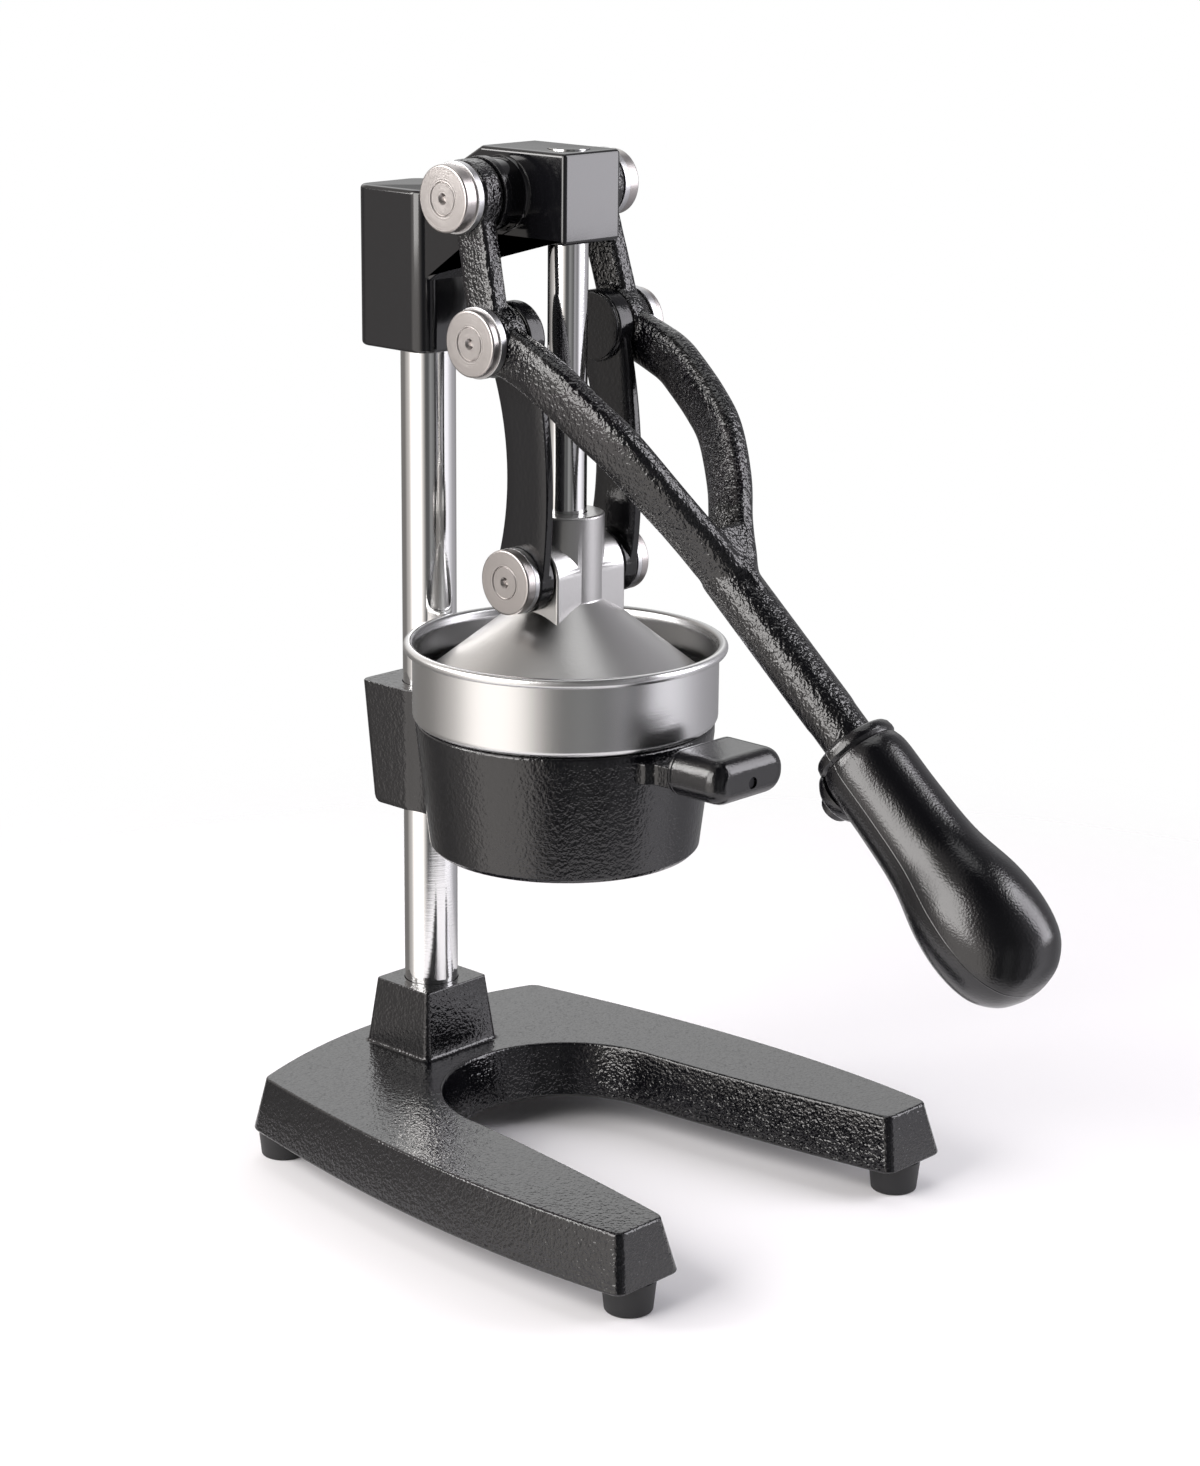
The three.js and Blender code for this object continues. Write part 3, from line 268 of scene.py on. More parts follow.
CLAMP_ROUND = 0.004
CLAMP_CHEEK = 0.003
NECK_HALF = 0.0145
NECK_FORWARD = 0.011
NECK_BEND = 0.005
FLARE_HALF = 0.022
FLARE_OVERLAP = 0.0069
FLARE_FORWARD = COLUMN.y - RAM.y - HOLDER_TOP_RADIUS + FLARE_OVERLAP
TAB_HALF = 0.0145
TAB_DROP = 0.003
TAB_TOP = HOLDER_TOP - TAB_DROP
TAB_THICKNESS = 0.008
TAB_FORWARD = COLUMN.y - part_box("side_handle_grip")[1].y - FIT_GAP
TAB_FILLET = 0.0032
TAB_STEPS = 5
TANG_HALF = 0.009
TANG_THICKNESS = 0.005
TANG_REACH = 0.013

# Side handle grip
HANDLE_HEIGHT = middle("side_handle_screw").z
HANDLE_END_ROUND = 0.0082
HANDLE_FRONT_ROUND = 0.006
HANDLE_SEAM = 0.0022
HANDLE_SEAM_DEPTH = 0.0003
HANDLE_BACK_ROUND = 0.0012
HANDLE_SCREW_BORE = 0.0016
HANDLE_RECESS_RADIUS = 0.0022
HANDLE_RECESS_DEPTH = 0.003

# Juice bowl and strainer
BOWL_RADIUS = 0.0572
BOWL_WALL = 0.0015
RIM_TUBE = 0.0019
RIM_START = -0.75 * math.pi
BOWL_CORNER = 0.003
FUNNEL_RADIUS = 0.0488
FUNNEL_DROP = 0.006
FUNNEL_SHOULDER = HOLDER_TOP - FUNNEL_DROP
SPOUT_RADIUS = 0.0085
SPOUT_LENGTH = 0.014
FLANGE_THICKNESS = 0.0016
STRAINER_FOOT = 0.046
STRAINER_WALL = 0.0022
STRAINER_RISE = 0.028
STRAINER_NOSE = 0.006
STRAINER_BLEND = 0.003
STRAINER_STEPS = 5
SLOT_COUNT = 12
SLOT_WIDTH = 0.0026
SLOT_LOW_RADIUS = 0.038
SLOT_HIGH_RADIUS = 0.017

# Looks: colour, roughness, metal or not, and refraction, with None for what a texture sets
PAINT_IOR = 1.6
SATIN_IOR = 1.42
PLAIN_IOR = 1.5
LOOKS = {
    "hammered_paint": ((0.003, 0.003, 0.004, 1), 0.05, 0, PAINT_IOR),
    "gloss_paint": ((0.004, 0.004, 0.005, 1), 0.09, 0, PAINT_IOR),
    "satin_paint": ((0.005, 0.005, 0.006, 1), 0.14, 0, SATIN_IOR),
    "chrome": (None, None, None, PLAIN_IOR),
    "machined_steel": ((0.41, 0.387, 0.378, 1), None, 1, PLAIN_IOR),
    "zinc_steel": ((0.5, 0.5, 0.51, 1), None, 1, PLAIN_IOR),
    "blackened_steel": ((0.03, 0.03, 0.032, 1), None, 1, PLAIN_IOR),
    "cast_aluminium": ((0.57, 0.565, 0.56, 1), 0.32, 1, PLAIN_IOR),
    "stainless": (None, 0.27, 1, PLAIN_IOR),
    "grip_plastic": ((0.003, 0.003, 0.004, 1), 0.14, 0, PAINT_IOR),
    "rubber": ((0.012, 0.012, 0.013, 1), 0.55, 0, PLAIN_IOR),
}

# Relief: scale and detail of its noise, its height, and a stretch where it runs along Z
RELIEFS = {
    "gloss_paint": (60, 1, 0.00004),
    "satin_paint": (700, 2, 0.0001),
    "chrome": (1400, 2, 0.00002, (0.04, 0.04, 1)),
    "cast_aluminium": (700, 3, 0.00004),
    "stainless": (1200, 2, 0.00002, (0.05, 0.05, 1)),
    "grip_plastic": (1300, 2, 0.0001),
    "rubber": (800, 2, 0.00004),
}

# Uneven gloss: scale and detail of its noise, the span of roughness, and a stretch where it runs along Z
UNEVEN_GLOSS = {
    "chrome": (90, 3, (0.06, 0.14), (4, 4, 0.15)),
    "machined_steel": (900, 3, (0.25, 0.42)),
    "zinc_steel": (400, 2, (0.28, 0.45)),
    "blackened_steel": (900, 2, (0.32, 0.5)),
}

# Pebbles of the hammered paint: noise scale and share of the relief's height, large ones first
PEBBLE_SHARES = ((340, 0.7), (850, 1))
PEBBLE_DETAIL = 1
PEBBLE_HEIGHT = 0.00045
LOW_PEBBLE_HEIGHT = 0.0002

# Turned rings, turning marks, and the tones that the bowl and the bars take with the way they face: on the
# bowl a painted shade, darker on the walls that face its axis
RING_SCALE = 2200
RING_HEIGHT = 0.00005
CAST_TURNING = 0.5
BOWL_TURNING = 0.6
BOWL_TONE = 0.7
# Painted shade: the darker colour of the bowl's inner walls, and the turn over which it sets in
BOWL_PAINTED_SHADE_TONE = 0.34
BOWL_PAINTED_SHADE_TURN = 0.01
BAR_TONE = 0.85
BAR_END_TONE = 0.005
BAR_END_TURN = (0.5, 0.72)

# Camera and studio
CAMERA_LEFT = 0.8595
CAMERA_FORWARD = 0.8981
CAMERA_HEIGHT = 0.5081
CAMERA_HEADING = math.radians(-46.8)
CAMERA_PITCH = math.radians(74.39)
CAMERA_ROLL = math.radians(0.52)
CAMERA_LENS = 81.04
FLOOR_SIZE = 6
AIM_HEIGHT = 0.2
FLOOR_GREY = 0.9
FLOOR_FOR_CAMERA = 0.94
FLOOR_TINT = (0.985, 0.975, 1)
FLOOR_FADE = (0.34, 0.65)
FLOOR_MIRRORED = (0.17, 0.3)
ROOM_GLOW = 2
ROOM_RISE = (0.05, 0.36)
ROOM_DIMMING = (0.6, 1)
CEILING_SHARE = 0.12
WARM = (1, 0.95, 0.91)
PALE_WARM = (1, 0.98, 0.965)
NEUTRAL = (1, 1, 1)
COOL = (0.97, 0.95, 1)

# Where a mix node takes the colours from the room's two columns of glow, and where it gives the result
MIX_COLOUR_INPUTS = {1: 6, 2: 7}
MIX_COLOUR_OUTPUT = 2

# The room that the metal mirrors: direction in degrees from +X, glow below and above the horizon, and tint
ROOM_BANDS = (
    (-180, 1.6, 1.3, WARM), (-172, 1.6, 1.0, WARM), (-165, 1.2, 0.4, WARM), (-157, 0.6, 0.15, WARM),
    (-146, 0.1, 0.1, NEUTRAL), (-134, 0.1, 0.08, NEUTRAL), (-126, 0.3, 0.08, NEUTRAL),
    (-114, 0.2, 0.1, NEUTRAL), (-104, 0.1, 0.12, NEUTRAL), (-97, 0.42, 0.2, COOL), (-82, 0.24, 0.25, COOL),
    (-74, 0.4, 0.5, COOL), (-66, 1.2, 0.6, COOL), (-48, 1.1, 0.6, COOL), (-36, 0.75, 0.4, COOL),
    (-18, 0.45, 0.35, COOL), (10, 0.35, 0.4, COOL), (32, 0.25, 1.3, NEUTRAL), (56, 0.25, 1.6, NEUTRAL),
    (78, 0.2, 1.1, WARM), (108, 0.2, 0.8, WARM), (122, 0.45, 0.8, WARM), (136, 0.6, 1.0, WARM),
    (152, 1.6, 1.1, WARM))

# Lights: direction in degrees from +X, distance, height, width and height of the panel, glow and tint
LIGHTS = {
    "left": (171, 1.0, 0.6, 0.65, 0.85, 5.5, PALE_WARM),
    "left_high": (137, 1.0, 0.7, 0.3, 0.6, 9, PALE_WARM),
    "right": (-43, 1.1, 0.68, 0.55, 1.1, 4.7, COOL),
    "right_high": (-50, 0.75, 1.05, 0.4, 0.2, 3, NEUTRAL),
    "top": (40, 0.3, 1.6, 0.9, 0.9, 1.2, NEUTRAL),
}


# Meshes
def mesh_object(vertices, faces):
    """A new mesh object with its faces turned outwards."""
    mesh = bpy.data.meshes.new("shape")
    mesh.from_pydata([tuple(v) for v in vertices], [], faces)
    net = bmesh.new()
    net.from_mesh(mesh)
    bmesh.ops.recalc_face_normals(net, faces=net.faces)
    net.to_mesh(mesh)
    net.free()
    made = bpy.data.objects.new("shape", mesh)
    bpy.context.scene.collection.objects.link(made)
    return made


def lathe(profile, segments=ROUND_SEGMENTS):
    """A body turned about Z. The profile starts and ends on the axis, or goes once round a ring."""
    vertices, rows = [], []
    for radius, height in profile:
        first = len(vertices)
        if radius < NEAR_ZERO:
            vertices.append((0, 0, height))
            rows.append([first] * segments)
        else:
            angles = [2 * math.pi * i / segments for i in range(segments)]
            vertices += [(radius * math.cos(a), radius * math.sin(a), height) for a in angles]
            rows.append(list(range(first, first + segments)))
    following = rows[1:] if profile[0][0] < NEAR_ZERO else rows[1:] + rows[:1]
    faces = []
    for low, high in zip(rows, following):
        for i in range(segments):
            j = (i + 1) % segments
            corners = list(dict.fromkeys((low[i], low[j], high[j], high[i])))
            if len(corners) > 2:
                faces.append(corners)
    return mesh_object(vertices, faces)


def loft(rings):
    """A closed skin over rings of equally many points, with flat ends."""
    count = len(rings[0])
    vertices = [point for ring in rings for point in ring]
    faces = [list(range(count)), list(range(len(vertices) - count, len(vertices)))]
    for row in range(len(rings) - 1):
        for i in range(count):
            a, b = row * count + i, row * count + (i + 1) % count
            faces.append([a, b, b + count, a + count])
    return mesh_object(vertices, faces)


def moved(made, matrix):
    """The same object with its points moved."""
    made.data.transform(matrix)
    if matrix.determinant() < 0:
        made.data.flip_normals()
    return made


def shifted(made, *place):
    return moved(made, Matrix.Translation(place))


def standing(made, place):
    """Moves a body made about Z over a place."""
    return shifted(made, place.x, place.y, 0)


def on_pivot(made, side, pivot):
    """Lays a body made about Z along X, outwards on one side, at a pivot."""
    outwards = Matrix.Rotation(side * math.pi / 2, 4, "Y")
    return moved(made, Matrix.Translation((0, pivot.y, pivot.z)) @ outwards)


def applied(made):
    """Makes the object's modifiers part of its mesh."""
    bpy.context.view_layer.update()
    graph = bpy.context.evaluated_depsgraph_get()
    finished = bpy.data.meshes.new_from_object(made.evaluated_get(graph))
    made.modifiers.clear()
    made.data = finished
    return made


def combined(made, how, others):
    """Joins other closed bodies to this one, or cuts them away."""
    for other in others:
        step = made.modifiers.new("step", "BOOLEAN")
        step.operation = how
        step.solver = "MANIFOLD"
        step.object = other
    applied(made)
    for other in others:
        bpy.data.objects.remove(other)
    return made


def joined(made, *others):
    return combined(made, "UNION", others)


def cut(made, *others):
    return combined(made, "DIFFERENCE", others)


def cast(made, *others):
    """Melts bodies together with soft inner corners, as in a casting."""
    joined(made, *others)
    skin = made.modifiers.new("skin", "REMESH")
    skin.mode = "VOXEL"
    skin.voxel_size = CAST_VOXEL
    soften = made.modifiers.new("soften", "SMOOTH")
    soften.factor = CAST_SOFTNESS
    soften.iterations = CAST_SMOOTHING
    return applied(made)


# Outlines
def curve(start, control, end, steps=CURVE_STEPS):
    """Points on a curve from start to end that is drawn towards control. The end is left out."""
    start, control, end = Vector(start), Vector(control), Vector(end)
    shares = [i / steps for i in range(steps)]
    return [start * (1 - t) ** 2 + control * 2 * t * (1 - t) + end * t * t for t in shares]


def arc(centre, radius, start, end, steps=CURVE_STEPS):
    """Points round a centre from one angle to another."""
    angles = [start + (end - start) * i / steps for i in range(steps + 1)]
    return [(centre[0] + radius * math.cos(a), centre[1] + radius * math.sin(a)) for a in angles]


def spline(knots, steps):
    """A smooth line through knots, given as tuples."""
    knots = [Vector(k) for k in knots]
    ends = [2 * knots[0] - knots[1], *knots, 2 * knots[-1] - knots[-2]]
    line = []
    for before, here, there, after in zip(ends, ends[1:], ends[2:], ends[3:]):
        for i in range(steps):
            t = i / steps
            line.append(0.5 * (2 * here + (there - before) * t
                               + (2 * before - 5 * here + 4 * there - after) * t * t
                               + (3 * here - before - 3 * there + after) * t ** 3))
    return line + [knots[-1]]


def rounded(outline, radius, steps=ARC_STEPS, picked=lambda point: True, closed=True):
    """An outline with arcs in its corners."""
    outline = [Vector(point) for point in outline]
    result = []
    for i, point in enumerate(outline):
        if not picked(point) or (not closed and i in (0, len(outline) - 1)):
            result.append(point)
            continue
        back = outline[i - 1] - point
        ahead = outline[(i + 1) % len(outline)] - point
        turn = math.pi - back.angle(ahead)
        if turn < SHARP_TURN:
            result.append(point)
            continue
        reach = min(radius * math.tan(turn / 2), min(back.length, ahead.length) * ARC_REACH_SHARE)
        arc_radius = reach / math.tan(turn / 2)
        centre = point + (back.normalized() + ahead.normalized()).normalized() * (
            arc_radius / math.cos(turn / 2))
        first = point + back.normalized() * reach - centre
        last = point + ahead.normalized() * reach - centre
        for step in range(steps + 1):
            t = step / steps
            mix = (first * math.sin((1 - t) * turn) + last * math.sin(t * turn)) / math.sin(turn)
            result.append(centre + mix)
    return result


def grown(outline, amount):
    """An anticlockwise outline with its edges moved outwards."""
    outline = [Vector(point) for point in outline]
    result = []
    for i, point in enumerate(outline):
        before = (point - outline[i - 1]).normalized()
        after = (outline[(i + 1) % len(outline)] - point).normalized()
        normal = Vector((after.y, -after.x))
        bisector = Vector((before.y + after.y, -before.x - after.x)).normalized()
        result.append(point + bisector * amount / max(bisector.dot(normal), MITRE_LIMIT))
    return result


def rectangle(half_x, low_y, high_y):
    return [(half_x, low_y), (half_x, high_y), (-half_x, high_y), (-half_x, low_y)]


def level(outline, height):
    return [Vector((*point, height)) for point in outline]


def along_y(outline, y):
    """The outline moved along Y."""
    return [Vector((point.x, point.y + y)) for point in outline]


def quarter(radius, steps=ARC_STEPS):
    """Steps of a quarter round: pairs of distance in from the side and distance down from the top."""
    angles = [math.pi / 2 * i / steps for i in range(steps + 1)]
    return [(radius * (1 - math.cos(a)), radius * (1 - math.sin(a))) for a in angles]


def edged(low, high, edge, steps=ARC_STEPS):
    """Rounded edges at both ends of a height: pairs of offset from the side and height."""
    wall = quarter(edge, steps)
    return [(-inset, low + down) for inset, down in reversed(wall)] + [
        (-inset, high - down) for inset, down in wall]


def stacked(plan, stack):
    """A block over a plan, from pairs of how far the plan is grown and at what height."""
    return loft([level(grown(plan, amount), height) for amount, height in stack])


def slab(side_view, half, edge):
    """A side view outline, (y, z) points, carried across X with rounded edges."""
    wall = quarter(edge)
    right = [(half - down, -inset) for inset, down in wall]
    places = [(-x, amount) for x, amount in reversed(right)] + right
    return loft([[Vector((x, p.x, p.y)) for p in grown(side_view, amount)] for x, amount in places])


def oval(width, height, power):
    """A section between an ellipse and a rectangle: the higher the power, the squarer."""
    section = []
    for i in range(OVAL_STEPS):
        angle = (i + 0.5) / OVAL_STEPS * 2 * math.pi
        c, s = math.cos(angle), math.sin(angle)
        shrink = (abs(c) ** power + abs(s) ** power) ** (-1 / power)
        section.append(Vector((c * shrink * width / 2, s * shrink * height / 2)))
    return section


def swept(line, section_at):
    """Carries a section along a line of points. Its width stays as near to X as the line allows."""
    rings = []
    for i, point in enumerate(line):
        ahead = (line[min(i + 1, len(line) - 1)] - line[max(i - 1, 0)]).normalized()
        across = (Vector((1, 0, 0)) - ahead * ahead.x).normalized()
        up = ahead.cross(across)
        rings.append([point + across * p.x + up * p.y for p in section_at(i / (len(line) - 1))])
    return loft(rings)


def rod(radius, low, high, segments=ROUND_SEGMENTS):
    return lathe([(0, low), (radius, low), (radius, high), (0, high)], segments)


def smoothstep(value, low, high):
    t = min(max((value - low) / (high - low), 0), 1)
    return t * t * (3 - 2 * t)


def blend_of(a, b, share):
    return a + (b - a) * share


# Materials
def fill(made, socket, term):
    """Links another socket to an input, or types a plain value in it."""
    if isinstance(term, bpy.types.NodeSocket):
        made.node_tree.links.new(term, socket)
    else:
        socket.default_value = term


def node(made, kind, terms=None, **settings):
    """A new node with its settings, and with a socket or a plain value for each input that is named."""
    added = made.node_tree.nodes.new(kind)
    for name, value in settings.items():
        setattr(added, name, value)
    for name, term in (terms or {}).items():
        fill(made, added.inputs[name], term)
    return added


def worked_out(made, kind, operation, *terms):
    """The result of a math node."""
    math_node = node(made, kind, operation=operation)
    for socket, term in zip(math_node.inputs, terms):
        fill(made, socket, term)
    return next(result for result in math_node.outputs if result.enabled)


def vector_math(made, operation, *terms):
    return worked_out(made, "ShaderNodeVectorMath", operation, *terms)


def map_range(made, source, between, to, **settings):
    """The source's span stretched onto another span."""
    spans = {"From Min": between[0], "From Max": between[1], "To Min": to[0], "To Max": to[1]}
    return node(made, "ShaderNodeMapRange", {"Value": source, **spans}, **settings).outputs["Result"]


def shader_input(made, name):
    return made.node_tree.nodes["Principled BSDF"].inputs[name]


def coordinate(made, kind="Object"):
    """The point on the piece itself in metres, or another of the coordinates that a surface has."""
    return node(made, "ShaderNodeTexCoord").outputs[kind]


def parts_of(made, source):
    """The three parts of a vector."""
    return node(made, "ShaderNodeSeparateXYZ", {"Vector": source}).outputs


def flat_offset(made, centre, kept):
    """How far a point of the piece lies from a centre, in the directions that are kept."""
    return vector_math(made, "MULTIPLY", vector_math(made, "SUBTRACT", coordinate(made), centre), kept)


def noise(made, scale, detail, stretch=(1, 1, 1)):
    """Noise over the piece, stretched for grain that has a direction."""
    place = node(made, "ShaderNodeMapping", {"Vector": coordinate(made), "Scale": stretch})
    terms = {"Vector": place.outputs["Vector"], "Scale": scale, "Detail": detail}
    return node(made, "ShaderNodeTexNoise", terms).outputs["Fac"]


def add_bump(made, height, distance):
    """Adds relief over what the surface already has."""
    normal = shader_input(made, "Normal")
    below = {"Normal": normal.links[0].from_socket} if normal.is_linked else {}
    bump = node(made, "ShaderNodeBump", {"Height": height, "Distance": distance, **below})
    fill(made, normal, bump.outputs["Normal"])


def new_material(name):
    made = bpy.data.materials.new(name)
    made.use_nodes = True
    return made


def plain_material(name, look):
    """A material with the colour, gloss and refraction of a look."""
    made = new_material(name)
    for socket, value in zip(("Base Color", "Roughness", "Metallic", "IOR"), LOOKS[look]):
        if value is not None:
            fill(made, shader_input(made, socket), value)
    return made


def fine_material(name):
    """A material with its look, relief and uneven gloss from the tables."""
    made = plain_material(name, name)
    if name in RELIEFS:
        scale, detail, height, *stretch = RELIEFS[name]
        add_bump(made, noise(made, scale, detail, *stretch), height)
    if name in UNEVEN_GLOSS:
        scale, detail, span, *stretch = UNEVEN_GLOSS[name]
        gloss = map_range(made, noise(made, scale, detail, *stretch), (0, 1), span)
        fill(made, shader_input(made, "Roughness"), gloss)
    return made


def turning_marks(made, amount):
    """Makes highlights run across the turning marks of a body turned about Z."""
    tangent = node(made, "ShaderNodeTangent", direction_type="RADIAL", axis="Z")
    fill(made, shader_input(made, "Anisotropic"), amount)
    fill(made, shader_input(made, "Tangent"), tangent.outputs["Tangent"])


def hammered_paint(name, relief):
    """Thick gloss paint over a pebbled casting, with the pebbles' height as relief."""
    made = plain_material(name, "hammered_paint")
    for scale, share in PEBBLE_SHARES:
        add_bump(made, noise(made, scale, PEBBLE_DETAIL), relief * share)
    return made


def chrome():
    """Polished bar with faint drawing marks along it. Where it faces up, its end is dark and not metallic.
    """
    made = fine_material("chrome")
    upwards = parts_of(made, coordinate(made, "Normal"))["Z"]
    shine = map_range(made, upwards, BAR_END_TURN, (1, 0))
    tone = map_range(made, shine, (0, 1), (BAR_END_TONE, BAR_TONE))
    fill(made, shader_input(made, "Metallic"), shine)
    fill(made, shader_input(made, "Base Color"), tone)
    return made


def machined_steel(pivot):
    """Turned metal: fine rings round the pivot that the piece sits on."""
    made = fine_material("machined_steel")
    distance = vector_math(made, "LENGTH", flat_offset(made, pivot, (0, 1, 1)))
    rings = node(made, "ShaderNodeTexNoise", {"W": distance, "Scale": RING_SCALE}, noise_dimensions="1D")
    add_bump(made, rings.outputs["Fac"], RING_HEIGHT)
    return made


def cast_aluminium():
    made = fine_material("cast_aluminium")
    turning_marks(made, CAST_TURNING)
    return made


def stainless():
    """Brushed sheet with a painted shade: a darker colour on the walls that face the bowl's axis."""
    made = fine_material("stainless")
    turning_marks(made, BOWL_TURNING)
    offset = flat_offset(made, RAM, (1, 1, 0))
    outwards = vector_math(made, "DOT_PRODUCT", offset, coordinate(made, "Normal"))
    # Painted shade: walls that face the bowl's axis get the darker colour
    turn = (-BOWL_PAINTED_SHADE_TURN, BOWL_PAINTED_SHADE_TURN)
    tone = map_range(made, outwards, turn, (BOWL_PAINTED_SHADE_TONE, BOWL_TONE))
    fill(made, shader_input(made, "Base Color"), tone)
    return made


def grip_plastic():
    """Moulded plastic with a fine grain and, on the lever's grip, the line where the mould closed."""
    made = fine_material("grip_plastic")
    side = grip_matrix().to_3x3() @ Vector((0, 1, 0))
    across = vector_math(made, "DOT_PRODUCT", coordinate(made), side)
    offset = worked_out(made, "ShaderNodeMath", "SUBTRACT", across, side.dot(BAR_END))
    distance = worked_out(made, "ShaderNodeMath", "ABSOLUTE", offset)
    add_bump(made, map_range(made, distance, (0, SEAM_WIDTH), (1, 0)), SEAM_HEIGHT)
    return made


def grip_matrix():
    """Turns a body made about Z to lie along the grip, with its origin at the bar's end."""
    start = fork_point(BAR_START_SHARE)
    slope = math.atan2(start.z - BAR_END.z, start.y - BAR_END.y)
    return Matrix.Translation(BAR_END) @ Matrix.Rotation(math.pi / 2 + slope + GRIP_DROOP, 4, "X")


def fork_point(share):
    """A point on the lever's fork from shares of its spread, its run and its drop."""
    spread, run, drop = share
    return Vector((spread * ARM_OUT, blend_of(KNEE.y, BAR_END.y, run), blend_of(KNEE.z, BAR_END.z, drop)))


TURNED_UPPER = machined_steel(UPPER)
TURNED_KNEE = machined_steel(KNEE)
TURNED_CROSS = machined_steel(CROSS)
BLACKENED = fine_material("blackened_steel")
BASE_PAINT = hammered_paint("base_paint", LOW_PEBBLE_HEIGHT)
CUP_PAINT = hammered_paint("cup_paint", LOW_PEBBLE_HEIGHT)

# Finish of each material slot
FINISHES = {
    "hammered_paint": hammered_paint("hammered_paint", PEBBLE_HEIGHT),
    "gloss_paint": fine_material("gloss_paint"),
    "satin_paint": fine_material("satin_paint"),
    "chrome": chrome(),
    "machined_steel": TURNED_UPPER,
    "zinc_steel": fine_material("zinc_steel"),
    "stainless": stainless(),
    "cast_aluminium": cast_aluminium(),
    "grip_plastic": grip_plastic(),
    "rubber": fine_material("rubber"),
}


def dress(made, name, body, slot, *nodes, finish=None, crisp=True):
    """Gives a finished piece its name, finish and body, in place of the part's nodes."""
    made.name = name
    made.data.name = name
    made.data.materials.clear()
    made.data.materials.append(finish or FINISHES[slot])
    made.data.shade_smooth()
    if crisp:
        made.data.set_sharp_from_angle(angle=SMOOTH_ANGLE)
        weighted = made.modifiers.new("weighted", "WEIGHTED_NORMAL")
        weighted.keep_sharp = True
        applied(made)
    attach(made, body)
    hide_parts(*nodes)


# Base, feet and column
def base_outline():
    """The top outline of the base with sharp corners."""
    tip_right, tip_left = (TIP_OUTER, -TIP_FORWARD), (-TIP_OUTER, -TIP_FORWARD)
    rear_right, rear_left = (REAR_HALF, REAR_BACK), (-REAR_HALF, REAR_BACK)
    notch_right, notch_left = (NOTCH_RADIUS, -NOTCH_FORWARD), (-NOTCH_RADIUS, -NOTCH_FORWARD)
    outline = [Vector((TIP_INNER, -TIP_FORWARD))]
    outline += curve(tip_right, (BULGE_HALF, -BULGE_FORWARD), rear_right)
    outline += curve(rear_right, (0, REAR_BACK + REAR_ARCH), rear_left)
    outline += curve(rear_left, (-BULGE_HALF, -BULGE_FORWARD), tip_left)
    outline.append(Vector(tip_left))
    outline += curve((-TIP_INNER, -TIP_FORWARD), (-FLANK_HALF, -FLANK_FORWARD), notch_left, FLANK_STEPS)
    notch = arc((0, -NOTCH_FORWARD), NOTCH_RADIUS, math.pi, 0, NOTCH_STEPS)
    outline += [Vector(point) for point in notch[:-1]]
    outline += curve(notch_right, (FLANK_HALF, -FLANK_FORWARD), (TIP_INNER, -TIP_FORWARD), FLANK_STEPS)
    return along_y(outline, COLUMN.y)


def base_level(amount, height):
    wide = grown(base_outline(), amount)
    split = COLUMN.y - NOTCH_FORWARD
    at_rear = rounded(wide, REAR_ROUND, LARGE_ARC_STEPS, lambda point: point.y > split)
    return level(rounded(at_rear, TIP_ROUND, ARC_STEPS, lambda point: point.y < split), height)


def base_plate():
    wall = quarter(BASE_EDGE)
    rings = [base_level(BASE_DRAFT - inset, BASE_LOW + down) for inset, down in reversed(wall)]
    rings += [base_level(-inset, BASE_TOP - down) for inset, down in wall]
    return loft(rings)


def base_pedestal():
    block = rectangle(PEDESTAL_HALF_X, COLUMN.y - PEDESTAL_HALF_Y, COLUMN.y + PEDESTAL_HALF_Y)
    stack = [(PEDESTAL_DRAFT + PEDESTAL_FILLET, BASE_TOP - SINK)]
    stack += [(PEDESTAL_DRAFT + down, BASE_TOP + inset) for inset, down in quarter(PEDESTAL_FILLET)]
    stack += [(-inset, PEDESTAL_TOP - down) for inset, down in quarter(SMALL_EDGE / 2)]
    return loft([
        level(rounded(grown(block, amount), PEDESTAL_ROUND + max(amount, 0) / 3), height)
        for amount, height in stack])


def base_pocket(feet):
    """The hollow under the base, round the bosses for the feet and for the column's bolt."""
    pocket = loft([base_level(-BASE_WALL, z) for z in (BASE_LOW - SINK, BASE_LOW + POCKET_DEPTH)])
    low = BASE_LOW - 2 * SINK
    bosses = [standing(rod(FOOT_BOSS_RADIUS, low, BASE_TOP, BOSS_SEGMENTS), foot) for foot in feet]
    return cut(pocket, *bosses, standing(rod(COLUMN_BOSS_RADIUS, low, BASE_TOP), COLUMN))


def build_base():
    feet = [middle(f"foot_{place}") for place in FOOT_PLACES]
    holes = [base_pocket(feet)]
    for place, foot in zip(FOOT_PLACES, feet):
        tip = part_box(f"foot_screw_{place}")[1].z + FIT_GAP
        holes.append(standing(rod(FOOT_SCREW_BORE, BASE_LOW - SINK, tip, SCREW_SEGMENTS), foot))
    column_low, column_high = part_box("column")
    bolt_low, bolt_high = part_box("column_bolt")
    for radius, low, high in (
            (column_high.x, column_low.z, PEDESTAL_TOP + SINK),
            (COLUMN_BOLT_RADIUS, BASE_LOW - SINK, column_low.z + SINK),
            (bolt_high.x, BASE_LOW - SINK, bolt_low.z + COLUMN_BOLT_HEAD_HEIGHT)):
        holes.append(standing(rod(radius + FIT_GAP, low, high), COLUMN))
    base = cut(joined(base_plate(), base_pedestal()), *holes)
    dress(base, "base_look", "frame", "hammered_paint", "base_casting", finish=BASE_PAINT)


